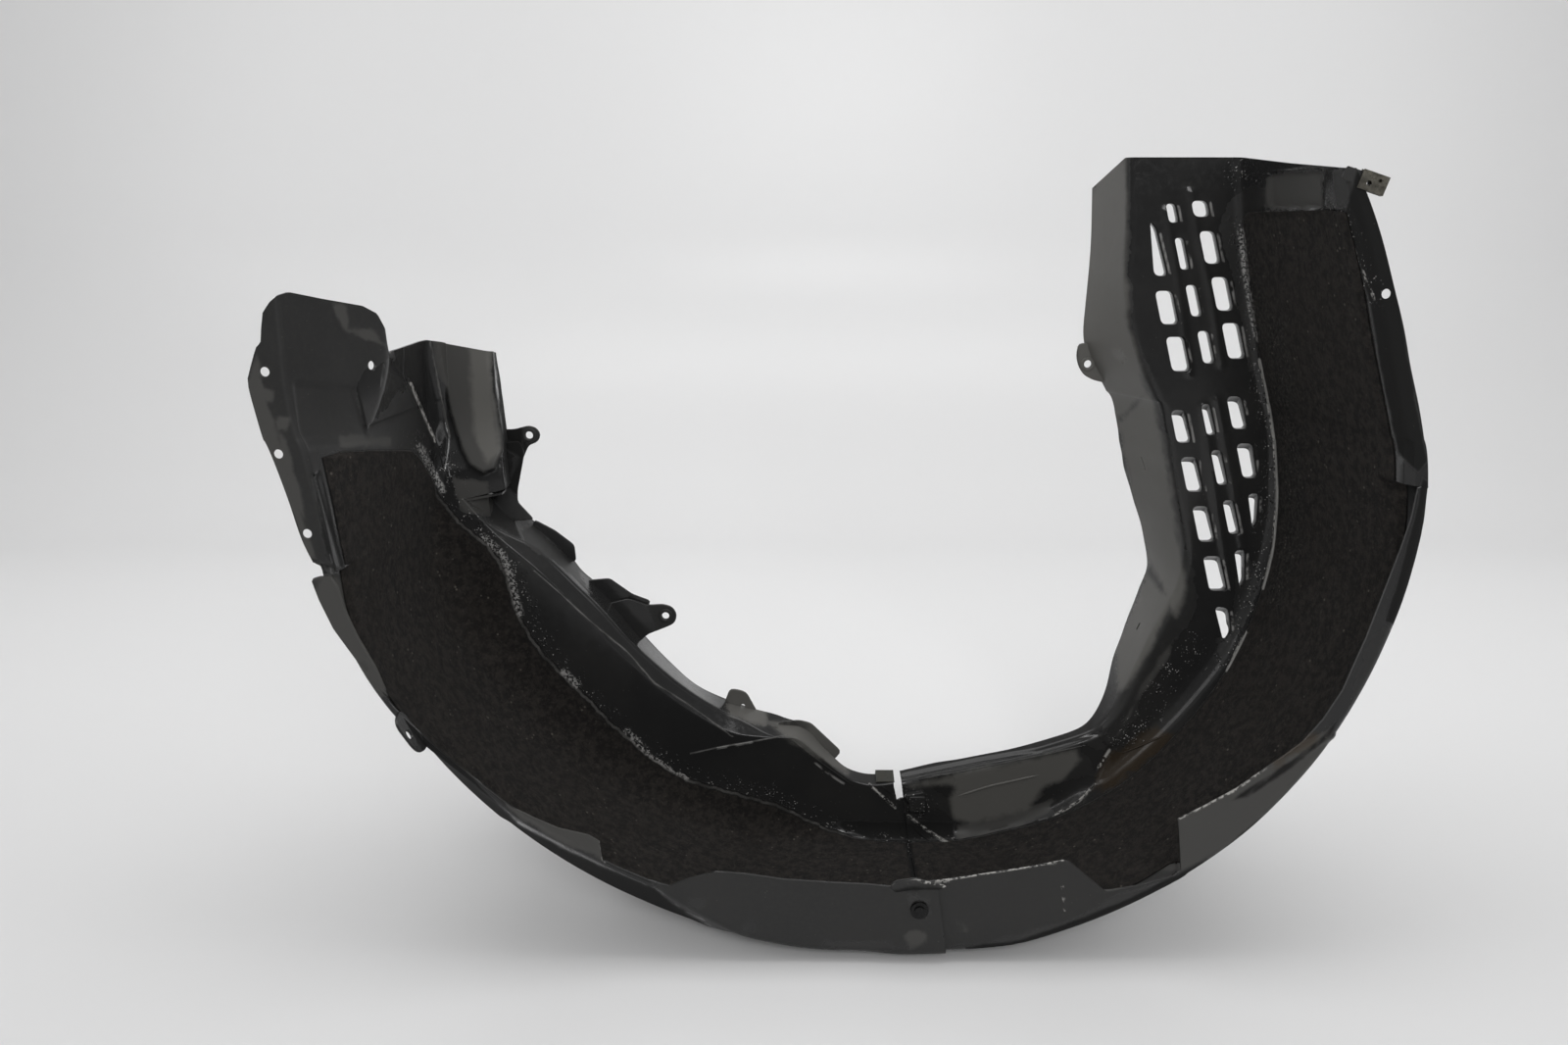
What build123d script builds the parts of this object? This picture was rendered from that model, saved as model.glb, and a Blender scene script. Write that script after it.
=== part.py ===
from build123d import *
import bisect
import math
import os

# Front wheel arch liner, standing on its crown as it does when it is off the car:
# the two legs point up, the open wheel side is between them.
# X along the arch, Y from the wheel-opening lip (near) to the inner wall (far), Z up.

# ---- driving dimensions (mm) ----
SHEET = 2.2            # wall of the two mouldings
FELT = 3.0             # wall of the two fleece linings
FELT_GAP = 0.9         # glue line under the fleece
LAP_GAP = 0.5          # air between the two layers of the lap joint
ARCH_X = 73.0          # arch axis, before the part is centred
ARCH_Z = 445.0         # arch axis above the floor
CROWN_R = 455.0        # arch radius behind the lip
LIP_REACH = 365.0      # radius to which the near flange is formed before trimming
LIP_RADIUS = 6.0       # bend at the lip
SHOULDER_RADIUS = 22.0
RIDGE_RADIUS = 4.0
SEAM_STEP = (-85.9, -85.4)   # where the rear moulding steps outwards, degrees
SEAM_END = -81.8             # end of the rear moulding
FRONT_START = -85.2          # end of the front moulding, inside the lap
REAR_SPLIT = -166.0          # below: lip turns in, above: flange turns out
FRONT_SPLIT = -5.0
SCREW_HOLE_R = 3.6
EAR_HOLE_R = 3.7
EAR_Y = 258.5               # near face of the two rear ears
FLANGE_HOLE_R = 3.6
RIVET_HOLE_R = 3.6
VENT_DEPTH = 10.0            # depth of the vent bars
VENT_CORNER = 3.2

# ---- section tables: arch angle (degrees) against radius or depth (mm) ----
LIP_ROOT = [(-166, 441), (-163, 446), (-158, 448), (-152, 446), (-146, 440), (-141, 431),
            (-136, 427), (-131, 425), (-126, 421), (-121, 418), (-116, 417), (-112, 421),
            (-108, 428), (-104, 434), (-99, 436), (-94, 437), (-88, 438), (-81.5, 440),
            (-78, 443), (-74, 446), (-68, 446), (-58, 447), (-47, 447), (-42, 445),
            (-35, 442), (-28, 437), (-22, 433), (-14, 429), (-9, 425), (-5, 420)]
SHOULDER = [(-166, 430), (-162, 438), (-158, 446), (-152, 452), (-146, 454), (-140, 455),
            (-70, 456), (-60, 455), (-54, 453), (-48, 451), (-42, 449), (-36, 446),
            (-30, 441), (-24, 436), (-18, 428), (-12, 416), (-5, 400)]
HEEL = [(-166, 418), (-160, 431), (-154, 440), (-148, 445), (-140, 448), (-110, 450),
        (-78, 456), (-66, 458), (-58, 453), (-54, 450), (-50, 446), (-46, 442), (-41, 438),
        (-36, 435), (-31, 430), (-26, 423), (-21, 416), (-16, 407), (-11, 396), (-5, 385)]
HEEL_RADIUS = [(-166, 24), (-160, 38), (-150, 52), (-112, 50), (-104, 40), (-97, 24),
               (-90, 14), (-60, 14), (-50, 18), (-40, 20), (-20, 14), (-5, 9)]
WALL_DEPTH = [(-166, 215), (-110, 215), (-97, 210), (-88, 207), (-60, 208), (-50, 211), (-5, 211)]
RIDGE = [(-166, 388), (-160, 371), (-153, 350), (-147, 342), (-141, 337), (-134, 339),
         (-126, 343), (-118, 349), (-111, 354), (-106, 348), (-102, 342), (-99.5, 341),
         (-96, 356), (-92, 375), (-89, 384), (-85.5, 384), (-81.5, 381), (-78, 379),
         (-71, 383), (-62, 393), (-57, 400), (-54, 403), (-50, 396), (-46, 382),
         (-41, 368), (-36, 360), (-31, 355), (-26, 346), (-21, 326), (-16, 308),
         (-11, 295), (-5, 284)]
RETURN_R = [(-166, 366), (-160, 352), (-153, 332), (-147, 330), (-141, 322), (-134, 326),
            (-126, 335), (-118, 342), (-111, 338), (-104, 334), (-99, 334), (-96, 350),
            (-92, 370), (-89, 379), (-85.5, 379), (-81.5, 376), (-78, 374), (-71, 378),
            (-62, 388), (-57, 395), (-54, 398), (-50, 390), (-46, 378), (-41, 366),
            (-36, 356), (-31, 346), (-26, 322), (-21, 296), (-16, 277), (-11, 265), (-5, 255)]
RETURN_Y = [(-166, 272), (-126, 275), (-118, 266), (-111, 256), (-104, 246), (-99, 236),
            (-96, 228), (-92, 223), (-58, 222), (-54, 226), (-50, 244), (-46, 266),
            (-41, 280), (-36, 285), (-5, 285)]
# end of the fleece along the section, counted in section points
FELT_END = [(-170, 11.0), (-163, 13.5), (-156, 15.0), (-147, 15.3), (-128, 15.2), (-116, 14.6),
            (-104, 15.0), (-99, 14.0), (-95, 12.0), (-91, 11.0), (-60, 11.0), (-5, 11.4)]

# rear leg: (angle, rise, flange, fold, bend radius, bend depth, heel, ridge, return, wall depth)
REAR_LEG = [(-166, 0, 444, 431, 430, 40, 418, 346, 349, 215),
            (-170, 0, 450, 429, 426, 48, 408, 343, 346, 217),
            (-174, 0, 453, 430, 419, 62, 402, 341, 344, 227),
            (-180, 0, 465, 438, 409, 76, 399, 342, 345, 231),
            (-180, 15, 468, 441, 404, 82, 398, 344, 346, 231),
            (-180, 32, 471, 443, 400, 88, 398, 346, 348, 231),
            (-180, 46, 472, 444, 398, 93, 398, 347, 349, 231),
            (-180, 62, 466, 444, 397, 95, 398, 348, 350, 231),
            (-180, 74, 457.5, 444, 397, 95, 398, 348, 350, 231),
            (-180, 112, 454, 444, 397, 95, 398, 349, 351, 231)]
REAR_LEG_HEEL = 213.0        # depth of the crease before the deeper tower wall
TOWER_STEP = 9.0             # width of the slope between the crease and the tower wall
REAR_LEG_RETURN = 262.0
# front leg: (angle, rise, flange, fold, bend radius, heel, ridge, return)
FRONT_LEG = [(-5, 0, 418, 402, 400, 385, 284, 255),
             (0, 0, 409, 393, 391, 374, 273, 244),
             (0, 28, 401, 385, 382, 365, 258, 229),
             (0, 55, 392, 376, 374, 358, 247, 219),
             (0, 82, 384, 368, 366, 352, 240, 218),
             (0, 110, 374, 360, 358, 346, 236, 219),
             (0, 140, 363, 350, 349, 340, 235, 220),
             (0, 170, 350, 338, 339, 335, 234, 220),
             (0, 200, 334, 325, 328, 331, 232, 219),
             (0, 228, 318, 313, 318, 328, 230, 218)]
FRONT_LEG_WALL = 211.0
FRONT_LEG_RETURN = 285.0

# ---- trimming lines of the near flange (x, z) ----
REAR_LIP = [(-350.8, 338.5), (-347, 317), (-343, 298), (-338, 287), (-328, 264), (-325, 256),
            (-312, 231), (-283, 199), (-262, 179), (-238, 158), (-223, 144), (-203, 133),
            (-184, 124), (-160, 118), (-151, 112), (-149, 94), (-129, 85), (-113, 77), (-95, 72),
            (-81, 78), (-56, 85), (-32, 83), (0, 78), (40, 75), (81, 73), (109, 72), (129, 76),
            (150, 79), (150, 230), (-180, 345), (-276, 357)]
FRONT_LIP = [(80, 74), (105, 75), (129, 77), (161, 82), (202, 89), (229, 95), (235, 94),
             (265, 68), (291, 73), (321, 82), (327, 86), (321, 132), (342, 144), (366, 159),
             (387, 176), (401, 187), (416, 200), (430, 219), (443, 244), (457, 289), (470, 340),
             (475, 360), (480, 383), (482.3, 407.8), (431.5, 412.4), (300, 330), (200, 220), (80, 200)]
# top edge of the flap, the upper end of the slanted panel (x, z)
FLAP_TOP = [(-430, 538.7), (-381.5, 538.7), (-377, 547.2), (-371.6, 551.4), (-366, 553.8), (-352, 547.5),
            (-335, 540), (-328.5, 533), (-325, 521), (-323, 505), (-290, 505)]
FLAP_END = 93.5              # depth of the flap's far edge
FLAP_HOLE = (-332.5, 78.5, 492.4)
NOTCH = [(-376, 336), (-341, 338), (-341, 345), (-358, 344), (-362, 349), (-376, 349)]
EAR_1 = [(-280, 411), (-262, 411), (-247, 415), (-239, 412), (-236, 405), (-240, 398), (-248, 396),
         (-256, 379), (-280, 379)]
EAR_2 = [(-180, 234), (-156, 240), (-137, 233), (-121, 234), (-112, 231), (-107.5, 223), (-110, 214),
         (-118, 210), (-138, 202), (-150, 190)]
TAB_3 = [(-64, 122), (-55, 147), (-46, 146), (-38, 143), (-20, 108), (-30, 104)]
TAB_4 = [(-8, 100), (-6, 119), (15, 121), (27, 118), (58, 87), (50, 77), (30, 92)]
EAR_FRONT = [(286, 492), (284.5, 480), (287, 470), (293, 461), (303, 456), (322, 452), (322, 492)]
VENT_FIELD = [(322, 634), (390, 634), (398, 600), (412, 545), (424, 492), (438, 440), (450, 390),
              (456, 345), (452, 300), (447, 255), (436, 205), (420, 212), (398, 276), (376, 350),
              (356, 420), (344, 480), (329, 540), (320, 600)]
# vent openings: four corners each
VENTS = [[(339.8, 621.3), (347.8, 621.3), (352.4, 605.2), (344.3, 605.2)],
         [(362.3, 623.8), (376.0, 623.8), (379.9, 610.3), (366.1, 610.3)],
         [(327.0, 606.0), (332.5, 600.0), (346.0, 558.1), (334.0, 559.0)],
         [(349.9, 591.6), (357.5, 591.6), (365.3, 564.1), (357.7, 564.1)],
         [(371.4, 597.5), (384.8, 597.5), (393.0, 569.3), (379.5, 569.3)],
         [(335.8, 545.0), (351.0, 545.0), (359.3, 515.2), (344.0, 515.2)],
         [(362.8, 550.2), (372.2, 550.2), (380.2, 522.3), (370.7, 522.3)],
         [(385.2, 557.2), (399.6, 557.2), (408.2, 527.5), (393.8, 527.5)],
         [(348.6, 503.7), (364.7, 503.7), (373.4, 472.5), (357.2, 472.5)],
         [(376.8, 509.0), (387.0, 509.0), (395.3, 479.7), (385.1, 479.7)],
         [(398.5, 516.1), (413.5, 516.1), (422.8, 484.1), (407.7, 484.1)],
         [(358.2, 436.3), (371.2, 436.3), (379.7, 406.0), (366.5, 406.0)],
         [(385.9, 441.7), (393.8, 441.7), (401.8, 413.4), (393.8, 413.4)],
         [(408.8, 449.0), (421.8, 449.0), (430.5, 418.9), (417.4, 418.9)],
         [(370.7, 392.1), (385.3, 392.1), (394.4, 359.3), (379.7, 359.3)],
         [(398.5, 398.6), (407.7, 398.6), (416.9, 365.9), (407.7, 365.9)],
         [(421.7, 405.0), (436.3, 405.0), (443.5, 372.5), (431.0, 372.5)],
         [(385.4, 345.1), (400.0, 345.1), (409.6, 310.8), (394.9, 310.8)],
         [(413.6, 350.8), (423.0, 350.8), (432.2, 318.4), (422.7, 318.4)],
         [(437.0, 357.4), (446.5, 357.4), (447.5, 330.0), (444.5, 323.2)],
         [(399.6, 296.3), (415.5, 296.3), (425.0, 262.2), (409.0, 262.2)],
         [(429.0, 302.1), (438.5, 302.1), (441.0, 272.0), (438.0, 263.2)],
         [(415.0, 246.5), (428.0, 244.0), (432.0, 222.0), (426.5, 211.0)]]


def table(rows, a):
    xs = [r[0] for r in rows]
    if a <= xs[0]:
        return rows[0][1]
    if a >= xs[-1]:
        return rows[-1][1]
    i = bisect.bisect(xs, a)
    (a0, v0), (a1, v1) = rows[i - 1], rows[i]
    return v0 + (v1 - v0) * (a - a0) / (a1 - a0)


def crown_limit(a, r):
    """Keep the crown flat where it stands on the floor."""
    flat = (ARCH_Z - 2 * SHEET - LAP_GAP - 0.4) / abs(math.sin(math.radians(a)))
    k = 2.0
    return min(r, flat) - k * math.log(1 + math.exp(-abs(r - flat) / k))


def bend(corners, radii, n=5):
    """Section line through corners, each rounded, always with the same number of points."""
    line = [corners[0]]
    for i in range(1, len(corners) - 1):
        a, p, b = corners[i - 1], corners[i], corners[i + 1]
        ua, ub = (a[0] - p[0], a[1] - p[1]), (b[0] - p[0], b[1] - p[1])
        la, lb = math.hypot(*ua), math.hypot(*ub)
        ua, ub = (ua[0] / la, ua[1] / la), (ub[0] / lb, ub[1] / lb)
        c = max(-1.0, min(1.0, ua[0] * ub[0] + ua[1] * ub[1]))
        half = math.acos(c) / 2
        d = min(max(radii[i - 1] / math.tan(half), 1.0), 0.45 * la, 0.45 * lb)
        s = (p[0] + ua[0] * d, p[1] + ua[1] * d)
        e = (p[0] + ub[0] * d, p[1] + ub[1] * d)
        for k in range(n):
            t = k / (n - 1)
            line.append(((1 - t) ** 2 * s[0] + 2 * t * (1 - t) * p[0] + t * t * e[0],
                         (1 - t) ** 2 * s[1] + 2 * t * (1 - t) * p[1] + t * t * e[1]))
    line.append(corners[-1])
    return line


def shift(line, t):
    """Move a section line sideways, away from the wheel for positive t."""
    out = []
    for i in range(len(line)):
        normals = []
        for a, b in ((i - 1, i), (i, i + 1)):
            if a < 0 or b >= len(line):
                continue
            dr, dy = line[b][0] - line[a][0], line[b][1] - line[a][1]
            ln = math.hypot(dr, dy)
            normals.append((dy / ln, -dr / ln))
        m = normals[0]
        k = 1.0
        if len(normals) == 2:
            m = (normals[0][0] + normals[1][0], normals[0][1] + normals[1][1])
            ln = math.hypot(*m)
            m = (m[0] / ln, m[1] / ln)
            k = 1 / max(0.5, m[0] * normals[0][0] + m[1] * normals[0][1])
        out.append((line[i][0] + m[0] * t * k, line[i][1] + m[1] * t * k))
    return out


def place(a, rise, q):
    ang = math.radians(a)
    return Vector(ARCH_X + q[0] * math.cos(ang), q[1], ARCH_Z + rise + q[0] * math.sin(ang))


def band(a, rise, line, t0, t1):
    """Closed section of a sheet between two offsets of a section line."""
    p, o = shift(line, t0), shift(line, t1)
    return Wire.make_polygon([place(a, rise, q) for q in p]
                             + [place(a, rise, q) for q in reversed(o)], close=True)


def crown_line(a):
    root = crown_limit(a, table(LIP_ROOT, a) + 3) - 3 - SHEET
    sh = crown_limit(a, table(SHOULDER, a))
    heel = crown_limit(a, table(HEEL, a))
    y = table(WALL_DEPTH, a)
    corners = [(LIP_REACH, SHEET), (root, SHEET), (sh, 40.0), (heel, y),
               (table(RIDGE, a), y), (table(RETURN_R, a), table(RETURN_Y, a))]
    return bend(corners, [LIP_RADIUS, SHOULDER_RADIUS, table(HEEL_RADIUS, a), RIDGE_RADIUS])


def lap_line(a):
    """Section of the lap strip: lip, crown and the lower half of the inner wall."""
    line = crown_line(a)
    return line[:16] + [(400.0, line[15][1])]


def rear_leg_line(row):
    a, rise, flange, fold, br, by, heel, ridge, ret, wall = row
    corners = [(flange, 0.0), (fold, 0.0), (br, by), (heel, REAR_LEG_HEEL), (heel - TOWER_STEP, wall),
               (ridge, wall), (ret, REAR_LEG_RETURN)]
    return bend(corners, [LIP_RADIUS, SHOULDER_RADIUS, 24 if a > -169 else 9, 5, RIDGE_RADIUS])


def front_leg_line(row):
    a, rise, flange, fold, br, heel, ridge, ret = row
    corners = [(flange, 0.0), (fold, 0.0), (br, 40.0), (heel, FRONT_LEG_WALL),
               (ridge, FRONT_LEG_WALL), (ret, FRONT_LEG_RETURN)]
    return bend(corners, [LIP_RADIUS, SHOULDER_RADIUS, 9, RIDGE_RADIUS])


def prism_y(points, y0, y1):
    f = Face(Wire.make_polygon([Vector(x, y0, z) for x, z in points], close=True))
    return Solid.extrude(f, Vector(0, y1 - y0, 0))


def prism_x(points, x0, x1):
    f = Face(Wire.make_polygon([Vector(x0, y, z) for y, z in points], close=True))
    return Solid.extrude(f, Vector(x1 - x0, 0, 0))


def rod_y(x, z, r, y0, y1):
    return Solid.make_cylinder(r, y1 - y0, Plane(origin=(x, y0, z), z_dir=(0, 1, 0)))


def rounded(points, r, n=4):
    out = []
    m = len(points)
    for i in range(m):
        a, p, b = points[i - 1], points[i], points[(i + 1) % m]
        la, lb = math.dist(a, p), math.dist(b, p)
        d = min(r, 0.45 * la, 0.45 * lb)
        s = (p[0] + (a[0] - p[0]) * d / la, p[1] + (a[1] - p[1]) * d / la)
        e = (p[0] + (b[0] - p[0]) * d / lb, p[1] + (b[1] - p[1]) * d / lb)
        for k in range(n):
            t = k / (n - 1)
            out.append(((1 - t) ** 2 * s[0] + 2 * t * (1 - t) * p[0] + t * t * e[0],
                        (1 - t) ** 2 * s[1] + 2 * t * (1 - t) * p[1] + t * t * e[1]))
    return out


def one(shape):
    """The single largest solid of a result."""
    s = sorted(shape.solids(), key=lambda q: q.volume)
    return s[-1]


# ---- rear moulding ----
REAR_ANGLES = [-166, -163, -159, -155, -151, -147, -143, -139, -135, -131, -127, -123, -119, -116, -113,
               -110, -107, -104, -102, -100, -98, -96, -94, -92, -90, -88, SEAM_STEP[0]]
rear = Solid.make_loft([band(a, 0, crown_line(a), 0, SHEET) for a in REAR_ANGLES], False)
lap = SHEET + LAP_GAP
joggle = Solid.make_loft([band(SEAM_STEP[0], 0, lap_line(SEAM_STEP[0]), 0, SHEET),
                          band(SEAM_STEP[1], 0, lap_line(SEAM_STEP[1]), lap, lap + SHEET),
                          band(SEAM_END, 0, lap_line(SEAM_END), lap, lap + SHEET)], True)
rear_leg = Solid.make_loft([band(r[0], r[1], rear_leg_line(r), 0, SHEET) for r in REAR_LEG], False)
rear_leg = one(rear_leg.cut(prism_y(FLAP_TOP + [(-290, 640), (-430, 640)], -20, FLAP_END),
                            prism_x([(FLAP_END, 499.5), (215, 501), (300, 488), (300, 640), (FLAP_END, 640)], -430, 0)))
rear = one(rear.fuse(joggle, rear_leg))
rear = one(rear.cut(prism_y(REAR_LIP, -8, 10)))
# the tower floor, the ears and tabs
tower_floor = prism_y([(-254, 360), (-254, 357.5), (-308, 347.5), (-308, 350.5)], 216, 262)
ear_1 = prism_y(rounded(EAR_1, 3), EAR_Y, EAR_Y + 3)
ear_2 = prism_y(rounded(EAR_2, 3), EAR_Y, EAR_Y + 3)
tab_3 = prism_y(rounded(TAB_3, 3), 250, 252.4)
tab_4 = prism_y(rounded(TAB_4, 3), 231, 233.4)
# lug on the lip, lying in the arch surface and reaching forward of the lip plane
lug_a = math.radians(-147.6)
lug_plane = Plane(origin=(ARCH_X + 437.5 * math.cos(lug_a), -6, ARCH_Z + 437.5 * math.sin(lug_a)),
                  x_dir=(0, 1, 0), z_dir=(math.cos(lug_a), 0, math.sin(lug_a)))
lug = lug_plane * extrude(RectangleRounded(25, 36, 6), SHEET)
rear = one(rear.fuse(tower_floor, ear_1, ear_2, tab_3, tab_4, lug))
lug_hole = lug_plane * Pos(-4, 0, -4) * Cylinder(3.4, 14)
flap_hole = Solid.make_cylinder(FLANGE_HOLE_R, 24, Plane(origin=(FLAP_HOLE[0] - 0.896 * 12, FLAP_HOLE[1] + 0.443 * 12, FLAP_HOLE[2]),
                                                         z_dir=(0.896, -0.443, 0)))
rear = one(rear.cut(*[rod_y(x, z, FLANGE_HOLE_R, -5, 8) for x, z in [(-386, 496), (-382, 434), (-366, 372)]], flap_hole,
                    rod_y(-247, 405.5, EAR_HOLE_R, EAR_Y - 3, EAR_Y + 6),
                    rod_y(-119, 222, EAR_HOLE_R, EAR_Y - 3, EAR_Y + 6),
                    rod_y(-42, 128, 2.4, 247, 256), lug_hole, prism_y(NOTCH, -5, 22),
                    prism_y([(110.5, 47), (145, 47), (145, 100), (110.5, 100)], 190, 245),
                    rod_y(112, 52, RIVET_HOLE_R, -8, 8)))

# ---- front moulding ----
FRONT_ANGLES = [FRONT_START, -84, -82.5, -81, -79, -77, -75, -73, -70, -67, -64, -61, -58, -55, -52, -49,
                -46, -43, -40, -37, -34, -31, -28, -25, -22, -19, -16, -13, -11, -9, -7, -5]
front = Solid.make_loft([band(a, 0, crown_line(a), 0, SHEET) for a in FRONT_ANGLES], False)
front_leg = Solid.make_loft([band(r[0], r[1], front_leg_line(r), 0, SHEET) for r in FRONT_LEG], False)
front_leg = one(front_leg - prism_x([(-20, 641), (0, 641.5), (100, 650), (211, 661), (218, 661), (300, 632),
                                     (300, 760), (-20, 760)], 200, 600))
front = one(front.fuse(front_leg))
front = one(front.cut(prism_y(FRONT_LIP, -8, 10)))
vent_pad = prism_y(VENT_FIELD, 211.5, 211 + VENT_DEPTH)
ear_f = prism_y(rounded(EAR_FRONT, 3), 280.5, 283.5)
lug_f = prism_y(rounded([(124, 36), (141, 36), (141, 53), (124, 53)], 2), 199, 208)
clip_tab = Pos(413, 1.1, 634.5) * Rot(0, 18, 0) * Box(26, 2.0, 10)
clip_tab = clip_tab - Pos(412.5, 0, 634.5) * Rot(0, 18, 0) * Pos(7, 1, -1.5) * Rot(90, 0, 0) * Cylinder(2.4, 6)
front = one(front.fuse(vent_pad, ear_f, lug_f, clip_tab))
front = one(front.cut(*[prism_y(rounded(quad, VENT_CORNER), 205, 226) for quad in VENTS],
                      rod_y(441, 553, SCREW_HOLE_R, -5, 8), rod_y(296, 472, EAR_HOLE_R, 276, 288),
                      prism_y([(60, 47), (117, 47), (117, 110), (60, 110)], 190, 245),
                      rod_y(112, 52, RIVET_HOLE_R, -8, 8),
                      Pos(349, 250, 377) * Rot(0, 14, 0) * Box(30, 3, 11),
                      Pos(356, 250, 213) * Rot(0, -30, 0) * Box(30, 3, 11)))


# ---- fleece linings ----
def felt_band(a, rise, line, end, start_y, gap=FELT_GAP):
    """Fleece section: from start_y on the arch to a point along the section line."""
    i = 5
    f = (start_y - line[i][1]) / (line[i + 1][1] - line[i][1])
    f = max(0.02, min(0.98, f))
    first = (line[i][0] + (line[i + 1][0] - line[i][0]) * f, line[i][1] + (line[i + 1][1] - line[i][1]) * f)
    pts = [first] + [line[k] for k in range(6, 11)]
    for k in range(1, 6):
        s = 10 + (end - 10) * k / 5
        j = min(int(s), len(line) - 2)
        u = s - j
        pts.append((line[j][0] + (line[j + 1][0] - line[j][0]) * u, line[j][1] + (line[j + 1][1] - line[j][1]) * u))
    return band(a, rise, pts, -gap, -gap - FELT)


REAR_FELT_LEG = [REAR_LEG[4], REAR_LEG[3], REAR_LEG[2], REAR_LEG[1], REAR_LEG[0]]
sections = [felt_band(r[0], r[1], rear_leg_line(r), table(FELT_END, r[0]), 17, 3.6) for r in REAR_FELT_LEG]
sections += [felt_band(a, 0, crown_line(a), table(FELT_END, a), 17, 2.7 if a < -158 else FELT_GAP)
             for a in REAR_ANGLES[1:-1] + [-86.4]]
rear_felt = Solid.make_loft(sections, False)

sections = [felt_band(a, 0, crown_line(a), table(FELT_END, a), 17) for a in [-84.8] + FRONT_ANGLES[2:-1]]
sections += [felt_band(r[0], r[1], front_leg_line(r), 11.4, 17) for r in FRONT_LEG[:-2]]
front_felt = Solid.make_loft(sections, False)
rear_felt = one(rear_felt - prism_x([(-5, 434.5), (215, 401), (215, 480), (-5, 480)], -420, -250))
front_felt = one(front_felt)

# ---- push-in rivet through both layers of the lip at the seam ----
y_face = -lap
rivet_body = rod_y(112, 52, 7.5, y_face - 2.2, y_face) + rod_y(112, 52, RIVET_HOLE_R - 0.15, y_face - 0.5, 10.5)
rivet_body = one(rivet_body - rod_y(112, 52, 1.9, y_face - 6, 14))
rivet_pin = one(rod_y(112, 52, 1.75, y_face - 2.6, 12.5) + rod_y(112, 52, 4.2, y_face - 3.6, y_face - 2.3))

# ---- edge clip on the rim of the inner wall at the seam ----
dx, dz = 0.949, 0.316
clip_line = [(1.5, 1.2), (16.5, 1.2), (16.5, -5.9), (1.5, -5.9), (1.5, -7.2), (17.9, -7.2), (17.9, 2.5), (1.5, 2.5)]
rim_clip = prism_x([(208.5 + s * dx - n * dz, 62.0 + s * dz + n * dx) for s, n in clip_line], 92, 110)
rim_clip = one(rim_clip)

# ---- spring nut on the tab of the front flange ----
nut = Pos(10, 1.1, 0) * Box(20, 4.6, 13.5) - Pos(8.8, 1.1, 0) * Box(20.2, 2.8, 14)
nut = nut - Pos(14, -1, 2.5) * Rot(90, 0, 0) * Cylinder(1.3, 4) - Pos(7, -1, -1.5) * Rot(90, 0, 0) * Cylinder(1.9, 4)
nut = nut + Pos(7, 4.6, -1.5) * Rot(90, 0, 0) * Cylinder(3.6, 2.8)
nut = nut - Pos(7, 4.6, -1.5) * Rot(90, 0, 0) * Cylinder(1.9, 8)
spring_nut = one(Pos(412.5, 0, 634.5) * Rot(0, 18, 0) * nut)

# ---- centre the part over its standing point and write the pieces ----
pieces = {"rear_shell": rear, "front_shell": front, "rear_felt": rear_felt, "front_felt": front_felt,
          "rivet_body": rivet_body, "rivet_pin": rivet_pin, "rim_clip": rim_clip, "spring_nut": spring_nut}
boxes = [p.bounding_box() for p in pieces.values()]
lo = [min(getattr(b.min, k) for b in boxes) for k in "XYZ"]
hi = [max(getattr(b.max, k) for b in boxes) for k in "XYZ"]
move = Vector(-(lo[0] + hi[0]) / 2, -(lo[1] + hi[1]) / 2, -lo[2])
os.makedirs("parts", exist_ok=True)
print("shift", move, "size", [hi[i] - lo[i] for i in range(3)])
for name, solid in pieces.items():
    solid = solid.moved(Location(move))
    print(name, solid.is_valid, round(solid.volume / 1000, 2), "cm3", solid.bounding_box())
    export_step(solid, "parts/" + name + ".step")
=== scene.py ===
import bisect
import math

import bpy
import numpy as np
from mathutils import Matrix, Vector
from mathutils.geometry import delaunay_2d_cdt


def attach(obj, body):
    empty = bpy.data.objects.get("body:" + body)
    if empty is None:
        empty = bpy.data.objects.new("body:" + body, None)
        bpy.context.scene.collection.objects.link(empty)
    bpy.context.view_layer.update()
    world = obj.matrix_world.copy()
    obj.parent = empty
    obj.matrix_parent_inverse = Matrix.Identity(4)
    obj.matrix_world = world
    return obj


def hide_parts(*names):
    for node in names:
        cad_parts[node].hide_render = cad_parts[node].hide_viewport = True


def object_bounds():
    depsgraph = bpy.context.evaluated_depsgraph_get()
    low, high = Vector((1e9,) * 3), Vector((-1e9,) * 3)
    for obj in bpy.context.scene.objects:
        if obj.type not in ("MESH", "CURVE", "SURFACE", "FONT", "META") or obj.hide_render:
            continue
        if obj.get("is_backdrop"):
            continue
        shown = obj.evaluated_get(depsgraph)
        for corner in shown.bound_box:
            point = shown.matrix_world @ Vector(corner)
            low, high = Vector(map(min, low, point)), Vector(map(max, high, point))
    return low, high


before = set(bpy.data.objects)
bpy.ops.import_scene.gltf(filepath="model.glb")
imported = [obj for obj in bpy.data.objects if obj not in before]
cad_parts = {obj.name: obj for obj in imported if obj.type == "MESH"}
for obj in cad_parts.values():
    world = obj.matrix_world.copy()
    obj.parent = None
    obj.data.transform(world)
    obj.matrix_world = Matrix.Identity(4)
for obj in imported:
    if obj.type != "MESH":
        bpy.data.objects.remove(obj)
cad_low, cad_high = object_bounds()

# Shapes are worked out in millimetres about the lip plane and moved into the row frame at the end.
MOVE = np.array([-45.8026, -133.7202, -0.4171])
SHEET, FELT = 2.2, 3.0
BOX_LOW = np.array(cad_low) * 1000 - MOVE + 0.02
BOX_HIGH = np.array(cad_high) * 1000 - MOVE - 0.02
ARCH_X, ARCH_Z = 73.0, 445.0
SEAM = -85.9
SEAM_END = -81.8
FRONT_START = -85.2
LAP = 2.7

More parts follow.
